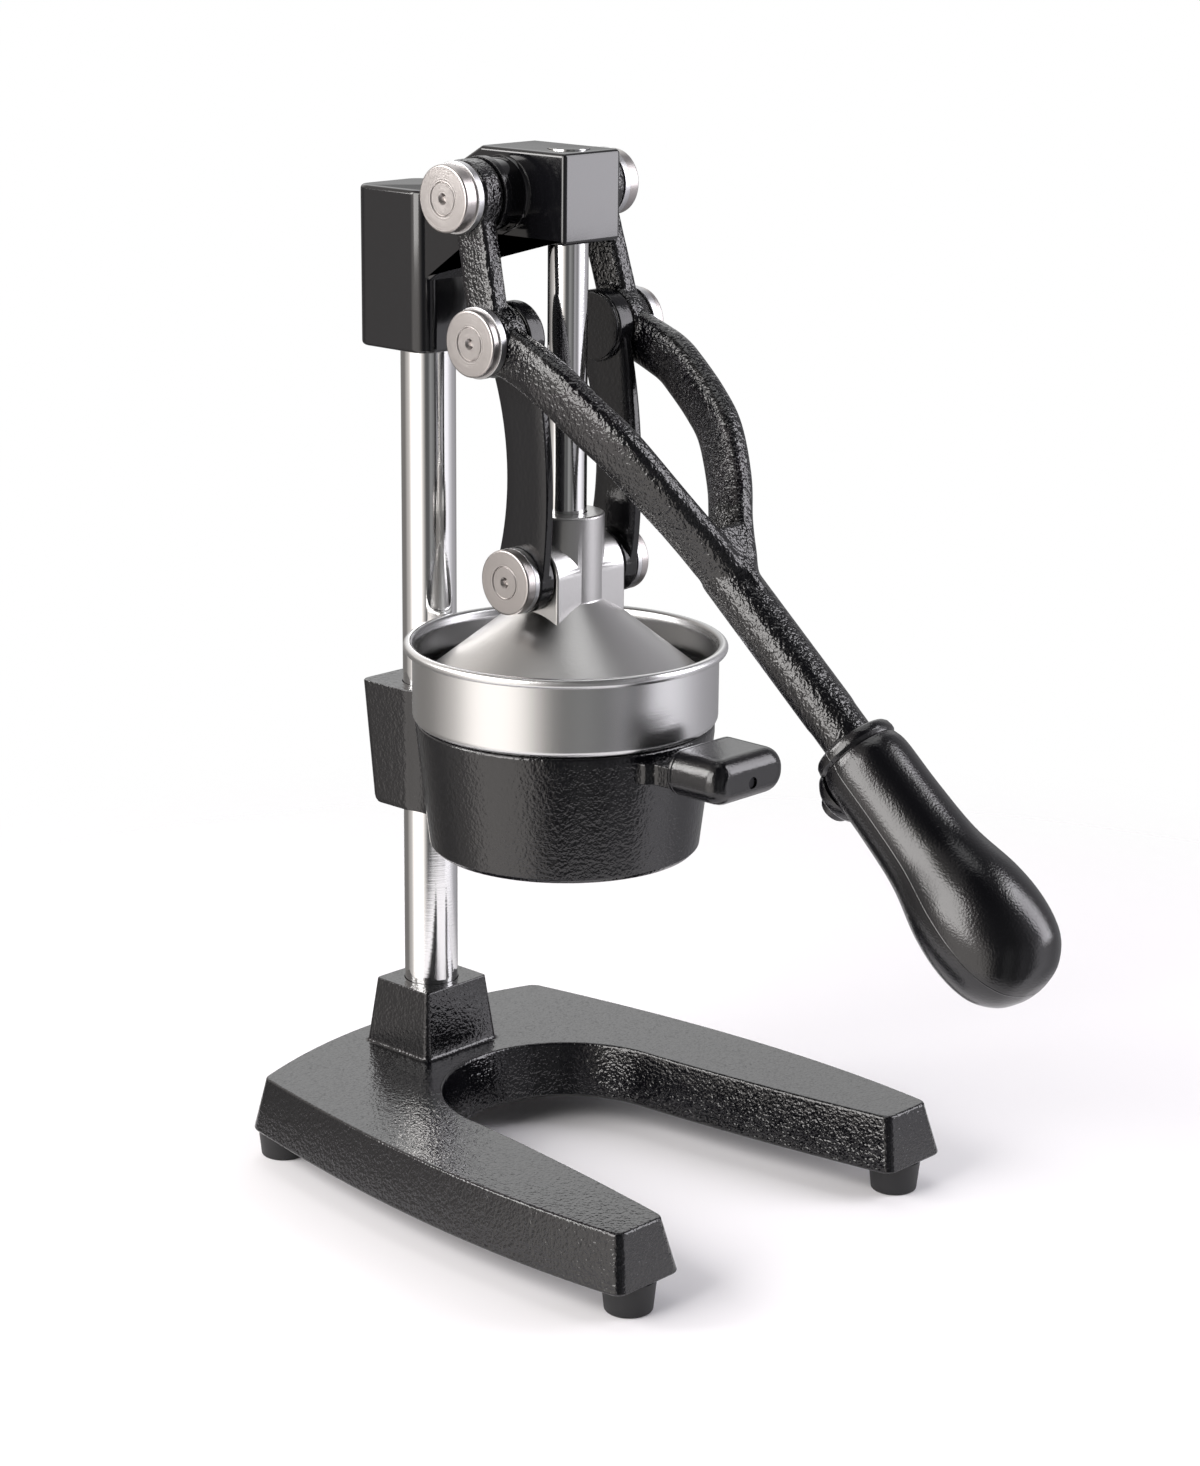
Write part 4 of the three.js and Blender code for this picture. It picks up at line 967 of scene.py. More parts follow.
def build_feet():
    for place in FOOT_PLACES:
        low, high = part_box(f"foot_{place}")
        radius = (high.x - low.x) / 2
        edge = [(FOOT_BOTTOM_RADIUS - inset, low.z + down) for inset, down in quarter(SMALL_EDGE)]
        foot = lathe([
            (FOOT_SCREW_BORE, FOOT_RECESS_DEPTH), (FOOT_RECESS_RADIUS, FOOT_RECESS_DEPTH),
            (FOOT_RECESS_RADIUS, low.z), *reversed(edge), (radius, high.z), (FOOT_SCREW_BORE, high.z)])
        standing(foot, middle(f"foot_{place}"))
        dress(foot, f"foot_look_{place}", "frame", "rubber", f"foot_{place}")


def build_column():
    low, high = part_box("column")
    bore, bore_end = COLUMN_BOLT_RADIUS + FIT_GAP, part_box("column_bolt")[1].z + FIT_GAP
    edge = SMALL_EDGE / 2
    column = lathe([
        (bore, low.z), (high.x, low.z), (high.x, high.z - edge), (high.x - edge, high.z), (0, high.z),
        (0, bore_end), (bore, bore_end)])
    dress(standing(column, COLUMN), "column_look", "frame", "chrome", "column")


# Head and what sits on the pivots
def head_arm():
    """The front block and the sloped neck that runs back into the rear block."""
    front_low = HEAD_TOP - FRONT_HEIGHT
    throat = front_low - THROAT_DROP
    top = REAR_TOP - HEAD_EDGE
    corners = ((0, throat), (-REAR_BLOCK_FRONT, throat), (-FRONT_BACK, front_low), (-FRONT_FACE, front_low),
               (-FRONT_FACE, HEAD_TOP), (-FRONT_BACK, HEAD_TOP), (-REAR_BLOCK_FRONT / 2, top), (0, top))
    side_view = rounded([(COLUMN.y + y, z) for y, z in reversed(corners)], HEAD_EDGE)
    return slab(side_view, FRONT_HALF, HEAD_EDGE)


def head_rear_block():
    plan = rectangle(REAR_BLOCK_HALF, COLUMN.y - REAR_BLOCK_FRONT, COLUMN.y + REAR_BLOCK_BACK)
    plan = rounded(plan, REAR_BLOCK_ROUND, REAR_BLOCK_STEPS)
    return stacked(plan, edged(HEAD_LOW, REAR_TOP, HEAD_EDGE))


def build_head():
    hub_out = HEAD_BACK.x
    flare = [(HUB_RADIUS + down, FRONT_HALF - SINK / 2 + inset) for inset, down in quarter(HUB_FILLET)]
    profile = [(0, 0), (HUB_RADIUS + HUB_FILLET, 0), *flare, (HUB_RADIUS, hub_out), (0, hub_out)]
    hubs = [on_pivot(lathe(profile), side, UPPER) for _, side in SIDES]
    ram_bore_low = HEAD_TOP - FRONT_HEIGHT - THROAT_DROP
    column_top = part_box("column")[1]
    head = cut(
        joined(head_arm(), head_rear_block(), *hubs),
        standing(rod(column_top.x + FIT_GAP, HEAD_LOW - SINK, column_top.z), COLUMN),
        standing(rod(RAM_BORE, ram_bore_low, HEAD_TOP + SINK), RAM),
        bore_through(SHAFT_BORE, hub_out + SINK, UPPER),
        back_bore("head_set_screw", REAR_BLOCK_BACK))
    dress(head, "head_look", "frame", "gloss_paint", "head_casting")


def back_bore(screw, back):
    """The hole that a set screw at the back of the column sits in."""
    low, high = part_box(screw)
    bore = rod((high.x - low.x) / 2 + FIT_GAP, 0, back + SINK, BORE_SEGMENTS)
    return shifted(moved(bore, BACKWARDS), 0, COLUMN.y, middle(screw).z)


def cap_profile(low, high, radius):
    """A thick round cap: rounded rim, a fine ring in its face and a dimple in the middle."""
    ring = radius * CAP_RING_SHARE
    dimple = radius * CAP_DIMPLE_SHARE
    floor = high - CAP_DIMPLE_DEPTH
    rim = [(radius - inset, high - down) for inset, down in quarter(CAP_EDGE, CAP_STEPS)]
    return [
        (0, low), (radius, low), *rim,
        (ring + CAP_RING_WIDTH, high), (ring, high - CAP_RING_WIDTH), (ring - CAP_RING_WIDTH, high),
        (dimple, high), (dimple - CAP_RING_WIDTH, high - CAP_RING_WIDTH), (dimple / 2, floor), (0, floor)]


def ring_profile(low, high, radius, bore, edge=WASHER_EDGE, steps=WASHER_STEPS):
    side = [(radius + amount, height) for amount, height in edged(low, high, edge, steps)]
    return [(bore, low), *side, (bore, high)]


def disc_profile(low, high, radius, edge=BOSS_EDGE):
    return ring_profile(low, high, radius, 0, edge, CAP_STEPS)


def boss(low, high, radius, side, pivot, edge=BOSS_EDGE):
    return on_pivot(lathe(disc_profile(low, high, radius, edge)), side, pivot)


def bore_through(radius, out, pivot):
    """A bore along X through both sides at a pivot."""
    return on_pivot(rod(radius, -out, out), 1, pivot)


def extent(name):
    """Inner and outer distance from the middle plane, and the radius, of a round node on a pivot."""
    low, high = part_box(name)
    near, far = sorted((abs(low.x), abs(high.x)))
    return near, far, (high.z - low.z) / 2


def build_pivots():
    """Caps, washers and discs: kind, pivot, bore, body, slot and, for a cap, its own turned finish."""
    rows = (
        ("upper_thrust_disc", UPPER, SHAFT_BORE, "frame", "satin_paint", None),
        ("upper_washer", UPPER, SHAFT_BORE, "frame", "zinc_steel", None),
        ("knee_washer", KNEE, PIN_BORE, "lever", "zinc_steel", None),
        ("cross_washer", CROSS, CROSS_BORE, "ram", "zinc_steel", None),
        ("upper_cap", UPPER, 0, "frame", "machined_steel", TURNED_UPPER),
        ("knee_cap", KNEE, 0, "lever", "machined_steel", TURNED_KNEE),
        ("cross_cap", CROSS, 0, "ram", "machined_steel", TURNED_CROSS),
    )
    for kind, pivot, bore, body, slot, finish in rows:
        for name, side in SIDES:
            near, far, radius = extent(f"{kind}_{name}")
            profile = ring_profile(near, far, radius, bore) if bore else cap_profile(near, far, radius)
            piece = on_pivot(lathe(profile), side, pivot)
            dress(piece, f"{kind}_look_{name}", body, slot, f"{kind}_{name}", finish=finish)


# Lever and its grip
def arm_section(share):
    widening = smoothstep(share, *ARM_WIDENING_SHARES)
    ending = blend_of(1, ARM_END_SHARE, smoothstep(share, *ARM_ENDING_SHARES))
    power = blend_of(*ARM_POWERS, smoothstep(share, *ARM_POWER_SHARES))
    return oval(blend_of(ARM_ROOT_WIDTH, ARM_WIDTH, widening) * ending, ARM_HEIGHT * ending, power)


def crank_line(upper_out, lower_out):
    """From the upper boss down to the knee boss, bending outwards on the way."""
    line = []
    for i in range(CURVE_STEPS + 1):
        t = i / CURVE_STEPS
        out = blend_of(upper_out, lower_out, smoothstep(t, 0, 1))
        y, z = blend_of(UPPER.y, KNEE.y, t), blend_of(UPPER.z, KNEE.z, t)
        line.append(Vector((out, y - CRANK_FORWARD, z)))
    return line


def lever_half(side):
    """One side of the forked lever: its two bosses, the crank between them and the long arm."""
    upper_low = extent("upper_thrust_disc_right")[1] + FIT_GAP
    upper_high = extent("upper_washer_right")[0] - FIT_GAP
    knee_low = extent("lower_link_right")[1] + FIT_GAP
    knee_high = extent("knee_washer_right")[0]
    line = crank_line((upper_low + upper_high) / 2, knee_high - FIT_GAP - CRANK_THICKNESS / 2)
    crank = swept(line, lambda share: oval(CRANK_THICKNESS, CRANK_WIDTH, CRANK_POWER))
    arm = swept(spline([fork_point(share) for share in ARM_SHARES], ARM_STEPS), arm_section)
    mirror = Matrix.Diagonal((side, 1, 1, 1))
    return [
        boss(upper_low, upper_high, BOSS_RADIUS, side, UPPER),
        boss(knee_low, SHOULDER_OUT, BOSS_RADIUS, side, KNEE),
        boss(knee_low, knee_high, SHOULDER_RADIUS, side, KNEE),
        moved(crank, mirror),
        moved(arm, mirror),
    ]


def bar_section(share):
    """The bar behind the grip, which starts as a blunt nose inside the fork."""
    width = 2 * BAR_RADIUS * blend_of(BAR_NOSE_SHARE, 1, smoothstep(share, 0, BAR_NOSE_REACH))
    return oval(width, width, BAR_POWER)


def web_section(share):
    """The web that closes the fork between its arms."""
    return oval(2 * ARM_OUT * blend_of(*WEB_SPREAD_SHARES, share), WEB_HEIGHT, WEB_POWER)


def at_nub(made):
    """Lays a body made about Z across the grip, where its screw sits."""
    return shifted(moved(made, FORWARDS), 0, 0, GRIP_START + NUB_PLACE)


def nub_hole():
    return at_nub(rod(NUB_BORE, TANG_RADIUS / 2, NUB_HEIGHT + SINK, BORE_SEGMENTS))


def build_lever():
    along = grip_matrix()
    start = fork_point(BAR_START_SHARE)
    bar_line = [start.lerp(BAR_END, i / CURVE_STEPS) for i in range(CURVE_STEPS + 1)]
    bar = swept(bar_line, bar_section)
    web = swept([fork_point(share) for share in WEB_SHARES], web_section)
    shoulder = moved(lathe(disc_profile(-BAR_RADIUS, GRIP_START - FIT_GAP, BAR_RADIUS)), along)
    halves = [piece for _, side in SIDES for piece in lever_half(side)]
    lever = cast(bar, web, shoulder, *halves)
    knee_out = extent("knee_washer_right")[1] + SINK
    upper_out = extent("upper_washer_right")[1] + SINK
    cut(lever, bore_through(SHAFT_BORE, upper_out, UPPER), bore_through(PIN_BORE, knee_out, KNEE))
    tang = cut(rod(TANG_RADIUS, 0, GRIP_START + TANG_LENGTH), nub_hole())
    joined(lever, moved(tang, along))
    dress(lever, "lever_look", "lever", "hammered_paint", "lever_yoke", crisp=False)


def grip_nub():
    """The spur under the grip that its screw sits in."""
    base = GRIP_NECK_SHARE * GRIP_RADIUS
    wide, flare_top = NUB_RADIUS + NUB_FLARE, base + NUB_FLARE
    flare = [(wide - down, flare_top - inset) for inset, down in reversed(quarter(NUB_FLARE))]
    tip = [(NUB_RADIUS - inset, NUB_HEIGHT - down) for inset, down in quarter(SMALL_EDGE)]
    profile = [(0, base - SINK), (wide, base - SINK), *flare, *tip, (0, NUB_HEIGHT)]
    return at_nub(lathe(profile, NUB_SEGMENTS))


def build_grip():
    shares = [Vector(share) for share in COLLAR_SHARES] + spline(SWELL_SHARES, SWELL_STEPS)
    outside = [(max(share.y, 0) * GRIP_RADIUS, GRIP_START + share.x * GRIP_LENGTH) for share in shares]
    bore = TANG_RADIUS + FIT_GAP
    bore_end = GRIP_START + TANG_LENGTH + FIT_GAP
    profile = [(bore, GRIP_START), *outside[:-1], (0, outside[-1][1]), (0, bore_end), (bore, bore_end)]
    hollow = rod(bore, GRIP_START - SINK, bore_end)
    grip = cut(joined(lathe(profile, GRIP_SEGMENTS), grip_nub()), hollow, nub_hole())
    dress(moved(grip, grip_matrix()), "lever_grip_look", "lever", "grip_plastic", "lever_grip")


# Links, cone and ram
def build_links():
    near, far, _ = extent("lower_link_right")
    boss_in = far - LINK_BOSS_HEIGHT
    disc_in = boss_in - LINK_DISC_HEIGHT
    cross_far = extent("cross_washer_right")[0] - FIT_GAP
    centre = (boss_in + cross_far) / 2 + LINK_DISC_HEIGHT
    belly = Vector((centre, (KNEE.y + CROSS.y) / 2 - 2 * LINK_BOW, (KNEE.z + CROSS.z) / 2))
    line = curve((centre, KNEE.y, KNEE.z), belly, (centre, CROSS.y, CROSS.z))
    line.append(Vector((centre, CROSS.y, CROSS.z)))
    for name, side in SIDES:
        bar = moved(swept(line, link_section), Matrix.Diagonal((side, 1, 1, 1)))
        upper = boss(boss_in, far, BOSS_RADIUS, side, KNEE)
        inner = boss(disc_in, boss_in + BOSS_EDGE, LINK_DISC_RADIUS, side, KNEE, LINK_DISC_HEIGHT / 2)
        lower = boss(near, cross_far, BOSS_RADIUS - BOSS_EDGE, side, CROSS)
        knee_bore = on_pivot(rod(PIN_BORE, boss_in + SINK, far + SINK), side, KNEE)
        cross_bore = on_pivot(rod(CROSS_BORE, 0, cross_far + SINK), side, CROSS)
        piece = cut(joined(upper, inner, lower, bar), knee_bore, cross_bore)
        dress(piece, f"lower_link_look_{name}", f"link_{name}", "satin_paint", f"lower_link_{name}")


def link_section(share):
    """Narrow in the middle of a link and wide towards its ends."""
    width = blend_of(LINK_WAIST, LINK_END_WIDTH, (2 * share - 1) ** 2)
    return oval(LINK_THICKNESS, width, LINK_POWER)


def cone_height(radius):
    return CONE_SHOULDER - (radius - SLEEVE_RADIUS) * CONE_DROP / (CONE_RADIUS - SLEEVE_RADIUS)


def cone_body(under, under_radius, rim_low, sleeve_top):
    outside = rounded([
        (CONE_RADIUS, rim_low), (CONE_RADIUS, cone_height(CONE_RADIUS)), (SLEEVE_RADIUS, CONE_SHOULDER),
        (SLEEVE_RADIUS, sleeve_top), (0, sleeve_top)], SMALL_EDGE, closed=False)
    inside = [(0, under), (under_radius, under), (CONE_RADIUS - CONE_WALL / 2, rim_low)]
    return standing(lathe(inside + outside, BOWL_SEGMENTS), RAM)


def cone_lugs(lug_out, rim_low):
    """The plates beside the sleeve that carry the cross shaft, down to the cone."""
    side_view = arc((CROSS.y, CROSS.z), LUG_RADIUS, 0, math.pi, LUG_STEPS)
    side_view += [(CROSS.y + reach, CROSS.z - LUG_SKIRT) for reach in (-LUG_RADIUS, LUG_RADIUS)]
    skin = CONE_WALL / 2
    below = lathe([
        (0, rim_low - SINK), (CONE_RADIUS, rim_low - SINK), (CONE_RADIUS, cone_height(CONE_RADIUS) - skin),
        (SLEEVE_RADIUS, CONE_SHOULDER - skin), (0, CONE_SHOULDER - skin)])
    return cut(slab(side_view, lug_out, BOSS_EDGE), standing(below, RAM))


def cone_ribs(under, under_radius, rim_low):
    """Radial ribs under the cone that grip the peel."""
    outer = CONE_RADIUS - CONE_WALL
    rib_view = [(under_radius, under - RIB_DEPTH), (outer, rim_low), (outer, rim_low + CONE_WALL),
                (under_radius, under + CONE_WALL / 2)]
    ribs = []
    for i in range(CONE_RIBS):
        turn = Matrix.Rotation(2 * math.pi * (i + 0.5) / CONE_RIBS - math.pi / 2, 4, "Z")
        rib = slab(rib_view, RIB_THICKNESS / 2, RIB_THICKNESS / 8)
        ribs.append(standing(moved(rib, turn), RAM))
    return ribs


def build_cone():
    under = CONE_SHOULDER - CONE_CROWN_SHARE * CONE_WALL
    under_radius = SLEEVE_RADIUS - CONE_WALL / 2
    rim_low = cone_height(CONE_RADIUS) - CONE_LIP
    sleeve_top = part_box("press_cone")[1].z
    lug_out = extent("lower_link_right")[0] - LUG_GAP
    body = cone_body(under, under_radius, rim_low, sleeve_top)
    cone = cut(
        joined(body, cone_lugs(lug_out, rim_low), *cone_ribs(under, under_radius, rim_low)),
        standing(rod(RAM_BORE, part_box("ram_rod")[0].z, sleeve_top + SINK), RAM),
        bore_through(CROSS_BORE, lug_out + SINK, CROSS))
    dress(cone, "press_cone_look", "ram", "cast_aluminium", "press_cone")


def build_ram():
    low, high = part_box("ram_rod")
    profile = disc_profile(low.z, high.z, (high.x - low.x) / 2, WASHER_EDGE)
    ram = standing(lathe(profile), RAM)
    cut(ram, bore_through(CROSS_BORE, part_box("cross_shaft")[1].x, CROSS))
    dress(ram, "ram_look", "ram", "chrome", "ram_rod")


# Cup holder, side handle, bowl and strainer
def clamp_level(back, half, height):
    """Plan of the clamp: a block round the column, a waist, and a flare into the cup's wall."""
    waist = (NECK_HALF + SINK, -NECK_FORWARD - NECK_BEND)
    flare = (FLARE_HALF, -FLARE_FORWARD)
    flank = curve((half, -CLAMP_CHEEK), (NECK_HALF - SINK, -NECK_FORWARD), waist, LARGE_ARC_STEPS)
    flank += curve(waist, (FLARE_HALF - NECK_BEND, NECK_BEND - FLARE_FORWARD), flare, LARGE_ARC_STEPS)
    right = [Vector(flare), *reversed(flank[1:])]
    right += rounded([flank[0], (half, back), (0, back)], CLAMP_ROUND, FINE_ARC_STEPS, closed=False)[:-1]
    left = [Vector((-point.x, point.y)) for point in reversed(right)]
    return level(along_y(right + left, COLUMN.y), height)


def holder_clamp():
    edge = HOLDER_EDGE / 2
    return loft([clamp_level(*ring) for ring in (
        (CLAMP_BACK_LOW - HOLDER_EDGE, CLAMP_HALF - HOLDER_EDGE, CLAMP_LOW),
        (CLAMP_BACK_LOW - edge / 2, CLAMP_HALF - edge - edge / 4, CLAMP_LOW + HOLDER_EDGE),
        (CLAMP_BACK_LOW, CLAMP_HALF - edge, CLAMP_LOW + 2 * HOLDER_EDGE),
        (CLAMP_BACK_TOP, CLAMP_HALF, CLAMP_TOP - edge),
        (CLAMP_BACK_TOP - edge / 3, CLAMP_HALF - edge / 3, CLAMP_TOP - edge / 3),
        (CLAMP_BACK_TOP - edge, CLAMP_HALF - edge, CLAMP_TOP))])


def holder_tab():
    """The step at the front of the cup and the flat tang that the side handle sits on."""
    wall_front = COLUMN.y - RAM.y + HOLDER_TOP_RADIUS
    root = TAB_HALF + TAB_FILLET
    side = rounded([
        (root, -wall_front + HOLDER_WALL), (root, -wall_front), (TAB_HALF, -wall_front - TAB_FILLET),
        (TAB_HALF, -TAB_FORWARD)], TAB_FILLET, TAB_STEPS, closed=False)
    plan = along_y([Vector((-p.x, p.y)) for p in side] + list(reversed(side)), COLUMN.y)
    tab = stacked(plan, edged(TAB_TOP - TAB_THICKNESS, TAB_TOP, HOLDER_EDGE / 2))
    tang_plan = rectangle(TANG_HALF, COLUMN.y - TAB_FORWARD - TANG_REACH, COLUMN.y - TAB_FORWARD + SINK)
    return joined(tab, flat_block(tang_plan, HANDLE_HEIGHT, TANG_THICKNESS / 2))


def flat_block(plan, height, half):
    return loft([level(plan, height - half), level(plan, height + half)])


def build_holder():
    outside = rounded([
        (0, HOLDER_LOW), (HOLDER_LOW_RADIUS - HOLDER_FOOT_EDGE, HOLDER_LOW),
        (HOLDER_LOW_RADIUS, HOLDER_LOW + HOLDER_FOOT_EDGE), (HOLDER_TOP_RADIUS, HOLDER_TOP - HOLDER_BAND),
        (HOLDER_TOP_RADIUS, HOLDER_TOP), (0, HOLDER_TOP)], HOLDER_EDGE, closed=False)
    wall = standing(lathe(outside, BOWL_SEGMENTS), RAM)
    inner_low, inner_top = HOLDER_LOW_RADIUS - HOLDER_WALL, HOLDER_TOP_RADIUS - HOLDER_WALL
    below, above = HOLDER_LOW - SINK, CLAMP_TOP + SINK
    hollow = lathe([
        (0, below), (inner_low, below), (inner_low, HOLDER_LOW), (inner_top, HOLDER_TOP),
        (inner_top, above), (0, above)], BOWL_SEGMENTS)
    holder = cut(
        joined(wall, holder_clamp(), holder_tab()),
        standing(hollow, RAM),
        standing(rod(BOWL_RADIUS + SINK, HOLDER_TOP, above, BOWL_SEGMENTS), RAM),
        standing(rod(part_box("column")[1].x + FIT_GAP, CLAMP_LOW - SINK, above), COLUMN),
        back_bore("clamp_set_screw", CLAMP_BACK_TOP),
        forward_bore(HANDLE_SCREW_BORE, TAB_FORWARD + FIT_GAP, TAB_FORWARD + TANG_REACH + SINK))
    dress(holder, "cup_holder_look", "frame", "hammered_paint", "cup_holder", finish=CUP_PAINT)


def forward_bore(radius, near, far):
    """A bore along -Y at the height of the side handle's screw."""
    bore = moved(rod(radius, near, far, BOSS_SEGMENTS), FORWARDS)
    return shifted(bore, 0, COLUMN.y, HANDLE_HEIGHT)


def build_side_handle():
    low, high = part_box("side_handle_grip")
    half, depth = high.x, high.y - low.y
    centre = (low.z + high.z) / 2
    front = rounded(rectangle(half, low.z - centre, high.z - centre), HANDLE_END_ROUND, LARGE_ARC_STEPS)
    stack = [(-inset, down) for inset, down in reversed(quarter(HANDLE_BACK_ROUND))]
    stack += [(0, HANDLE_SEAM - HANDLE_SEAM_DEPTH), (-HANDLE_SEAM_DEPTH, HANDLE_SEAM),
              (0, HANDLE_SEAM + HANDLE_SEAM_DEPTH)]
    stack += [(-inset, depth - down) for inset, down in quarter(HANDLE_FRONT_ROUND, LARGE_ARC_STEPS)]
    body = shifted(moved(stacked(front, stack), FORWARDS), 0, high.y, centre)
    slot_back = COLUMN.y - TAB_FORWARD
    slot_plan = rectangle(TANG_HALF + FIT_GAP, slot_back - TANG_REACH - FIT_GAP, slot_back + SINK)
    slot = flat_block(slot_plan, HANDLE_HEIGHT, TANG_THICKNESS / 2 + FIT_GAP)
    face = COLUMN.y - low.y
    cut(body, slot, forward_bore(HANDLE_SCREW_BORE, TAB_FORWARD, face + SINK),
        forward_bore(HANDLE_RECESS_RADIUS, face - HANDLE_RECESS_DEPTH, face + SINK))
    dress(body, "side_handle_look", "frame", "grip_plastic", "side_handle_grip")


def build_bowl():
    low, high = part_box("juice_bowl")
    rim_height = high.z - RIM_TUBE
    rim_centre = high.x - RIM_TUBE
    wall_top = rim_height - RIM_TUBE
    rim = arc((rim_centre, rim_height), RIM_TUBE, RIM_START, math.pi)
    inner_radius, inner_floor = BOWL_RADIUS - BOWL_WALL, HOLDER_TOP + BOWL_WALL
    funnel_inner = FUNNEL_RADIUS - BOWL_WALL
    outer = rounded([(FUNNEL_RADIUS, HOLDER_TOP), (BOWL_RADIUS, HOLDER_TOP), (BOWL_RADIUS, wall_top)],
                    BOWL_CORNER, FINE_ARC_STEPS, closed=False)
    inner = rounded([(inner_radius, wall_top), (inner_radius, inner_floor), (funnel_inner, inner_floor)],
                    BOWL_CORNER - BOWL_WALL, FINE_ARC_STEPS, closed=False)
    spout_top, spout_inner = low.z + SPOUT_LENGTH, SPOUT_RADIUS - BOWL_WALL
    bowl = lathe([
        (SPOUT_RADIUS, low.z), (SPOUT_RADIUS, spout_top), (FUNNEL_RADIUS, FUNNEL_SHOULDER),
        *outer, *rim, *inner,
        (funnel_inner, FUNNEL_SHOULDER + BOWL_WALL / 2), (spout_inner, spout_top + BOWL_WALL / 2),
        (spout_inner, low.z)], BOWL_SEGMENTS)
    dress(standing(bowl, RAM), "juice_bowl_look", "frame", "stainless", "juice_bowl")


def build_strainer():
    low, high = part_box("strainer")
    base = low.z + FLANGE_THICKNESS
    top = base + STRAINER_RISE
    slope = STRAINER_RISE / (STRAINER_FOOT - STRAINER_NOSE)
    outside = rounded([
        (high.x, low.z), (high.x, base), (STRAINER_FOOT, base), (STRAINER_NOSE, top), (0, high.z)],
        STRAINER_BLEND, STRAINER_STEPS, closed=False)
    profile = [(STRAINER_FOOT - STRAINER_WALL, low.z), *outside, (0, top - STRAINER_WALL),
               (STRAINER_NOSE - STRAINER_WALL / 2, top - STRAINER_WALL)]
    half = (SLOT_LOW_RADIUS - SLOT_HIGH_RADIUS) / 2
    centre = (SLOT_LOW_RADIUS + SLOT_HIGH_RADIUS) / 2
    tilt = math.atan(slope)
    reach = half / math.cos(tilt)
    plan = rounded(rectangle(SLOT_WIDTH / 2, -reach, reach), SLOT_WIDTH / 2, FINE_ARC_STEPS)
    place = Matrix.Translation((centre, 0, base + (STRAINER_FOOT - centre) * slope))
    lean = Matrix.Rotation(tilt, 4, "Y") @ Matrix.Rotation(-math.pi / 2, 4, "Z")
    slots = []
    for i in range(SLOT_COUNT):
        turn = Matrix.Rotation(2 * math.pi * i / SLOT_COUNT, 4, "Z")
        slots.append(moved(flat_block(plan, 0, 2 * STRAINER_WALL), turn @ place @ lean))
    strainer = cut(lathe(profile, BOWL_SEGMENTS), *slots)
    dress(standing(strainer, RAM), "strainer_look", "frame", "stainless", "strainer")


def dress_hidden():
    """Gives the screws, shafts and pins, which stay as they come from the part, their finish."""
    for name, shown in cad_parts.items():
        if "screw" in name or "bolt" in name:
            slot = "zinc_steel"
        elif "shaft" in name or "pin" in name:
            slot = "machined_steel"
        else:
            continue
        shown.data.materials.clear()
        shown.data.materials.append(BLACKENED if name == "side_handle_screw" else FINISHES[slot])


# Studio
def mixed(made, share, first, second):
    """One shader where the share is zero and the other where it is one."""
    mix = node(made, "ShaderNodeMixShader")
    for socket, term in zip(mix.inputs, (share, first, second)):
        fill(made, socket, term)
    return mix.outputs["Shader"]


def build_floor():
    """A pale floor that keeps the shadow and fades into the white round it."""
    half = FLOOR_SIZE / 2
    floor = mesh_object([(*corner, 0) for corner in rectangle(half, -half, half)], [[0, 1, 2, 3]])
    floor.name = "floor"
    pale = new_material("floor")
    nodes = pale.node_tree.nodes
    nodes.remove(nodes["Principled BSDF"])
    rays = node(pale, "ShaderNodeLightPath").outputs
    tone = map_range(pale, rays["Is Camera Ray"], (0, 1), (FLOOR_GREY, FLOOR_FOR_CAMERA))
    lit = node(pale, "ShaderNodeBsdfDiffuse", {"Color": vector_math(pale, "MULTIPLY", tone, FLOOR_TINT)})
    clear = node(pale, "ShaderNodeBsdfTransparent")
    distance = vector_math(pale, "LENGTH", coordinate(pale))
    mirrored = rays["Is Glossy Ray"]
    span = [map_range(pale, mirrored, (0, 1), ends) for ends in zip(FLOOR_FADE, FLOOR_MIRRORED)]
    fade = map_range(pale, distance, span, (0, 1), interpolation_type="SMOOTHSTEP")
    surface = mixed(pale, fade, lit.outputs["BSDF"], clear.outputs["BSDF"])
    fill(pale, nodes["Material Output"].inputs["Surface"], surface)
    floor.data.materials.append(pale)


def soft_box(name, heading, distance, height, width, tall, glow, tint):
    """A studio light: a bright panel that faces the object, with its brightness as glow."""
    lamp = bpy.data.lights.new(name, "AREA")
    lamp.shape = "RECTANGLE"
    lamp.size = width
    lamp.size_y = tall
    lamp.energy = glow * math.pi * width * tall
    lamp.color = tint
    holder = bpy.data.objects.new(name, lamp)
    angle = math.radians(heading)
    holder.location = Vector((distance * math.cos(angle), distance * math.sin(angle), height))
    sight = Vector((0, 0, AIM_HEIGHT)) - holder.location
    holder.rotation_euler = sight.to_track_quat("-Z", "Y").to_euler()
    bpy.context.scene.collection.objects.link(holder)


def room_ramp(world, share, column):
    """Upright bands of light and dark round the object, from one column of the table."""
    ramp = node(world, "ShaderNodeValToRGB", {"Fac": share})
    stops = ramp.color_ramp.elements
    stops.remove(stops[1])
    for i, band in enumerate(ROOM_BANDS):
        place = band[0] / FULL_TURN + 0.5
        stop = stops[0] if i == 0 else stops.new(place)
        stop.position = place
        stop.color = (*(band[column] / ROOM_GLOW * tint for tint in band[3]), 1)
    return ramp.outputs["Color"]


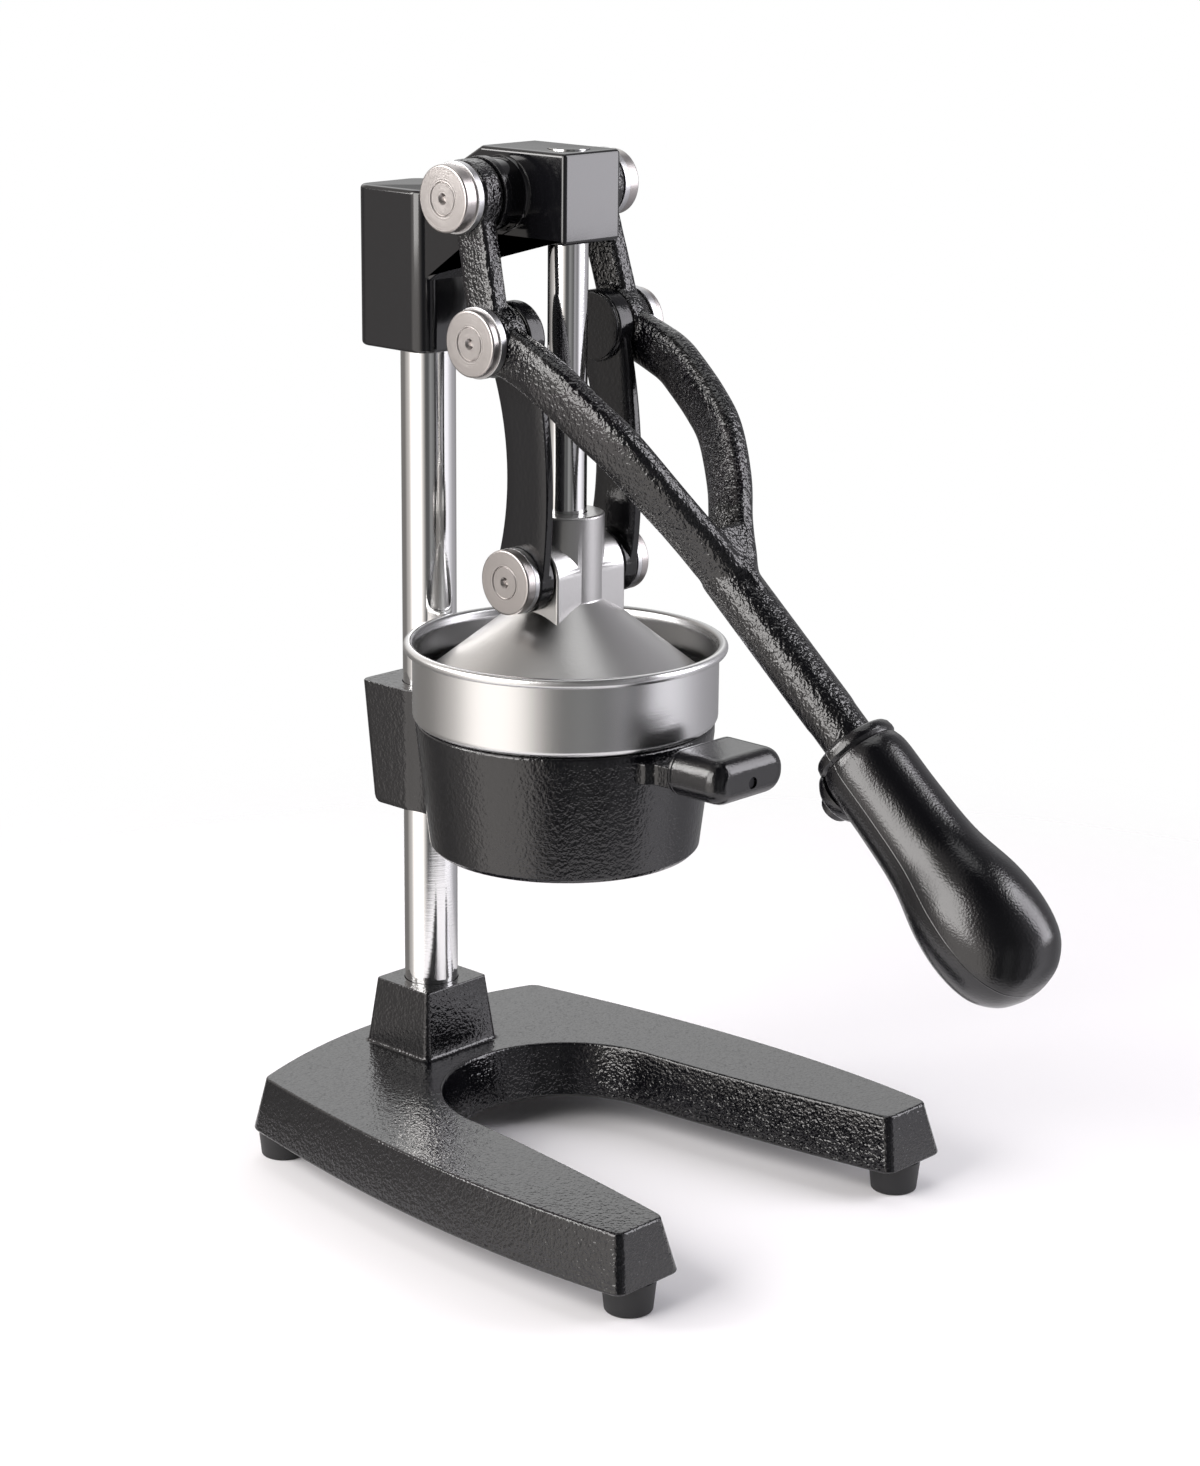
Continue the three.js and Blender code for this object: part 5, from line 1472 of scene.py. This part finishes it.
def room_background(world):
    """The room's colour and brightness in each direction."""
    parts = parts_of(world, coordinate(world, "Generated"))
    heading = worked_out(world, "ShaderNodeMath", "ARCTAN2", parts["Y"], parts["X"])
    share = map_range(world, heading, (-math.pi, math.pi), (0, 1))
    rising = map_range(world, parts["Z"], ROOM_RISE, (0, 1))
    glow = map_range(world, parts["Z"], ROOM_DIMMING, (ROOM_GLOW, ROOM_GLOW * CEILING_SHARE))
    blend = node(world, "ShaderNodeMix", {"Factor": rising}, data_type="RGBA")
    for column, end in MIX_COLOUR_INPUTS.items():
        fill(world, blend.inputs[end], room_ramp(world, share, column))
    terms = {"Color": blend.outputs[MIX_COLOUR_OUTPUT], "Strength": glow}
    return node(world, "ShaderNodeBackground", terms)


def build_world():
    """White behind the object for the camera, and a studio room for everything else."""
    world = bpy.data.worlds.new("studio")
    bpy.context.scene.world = world
    world.use_nodes = True
    world.node_tree.nodes.clear()
    room = room_background(world)
    white = node(world, "ShaderNodeBackground", {"Color": (1, 1, 1, 1)})
    seen = node(world, "ShaderNodeLightPath").outputs["Is Camera Ray"]
    surface = mixed(world, seen, room.outputs["Background"], white.outputs["Background"])
    node(world, "ShaderNodeOutputWorld", {"Surface": surface})


def build_camera():
    camera = bpy.data.cameras.new("camera")
    camera.lens = CAMERA_LENS
    holder = bpy.data.objects.new("camera", camera)
    turn = (Matrix.Rotation(CAMERA_HEADING, 4, "Z") @ Matrix.Rotation(CAMERA_PITCH, 4, "X")
            @ Matrix.Rotation(CAMERA_ROLL, 4, "Z"))
    place = (-CAMERA_LEFT, COLUMN.y - CAMERA_FORWARD, CAMERA_HEIGHT)
    holder.matrix_world = Matrix.Translation(place) @ turn
    bpy.context.scene.collection.objects.link(holder)
    bpy.context.scene.camera = holder


def build_lights():
    for name, row in LIGHTS.items():
        soft_box(name, *row)


build_base()
build_feet()
build_column()
build_head()
build_pivots()
build_lever()
build_grip()
build_links()
build_cone()
build_ram()
build_holder()
build_side_handle()
build_bowl()
build_strainer()
dress_hidden()

build_floor()
build_world()
build_lights()
build_camera()

bpy.context.scene.view_settings.view_transform = "Standard"
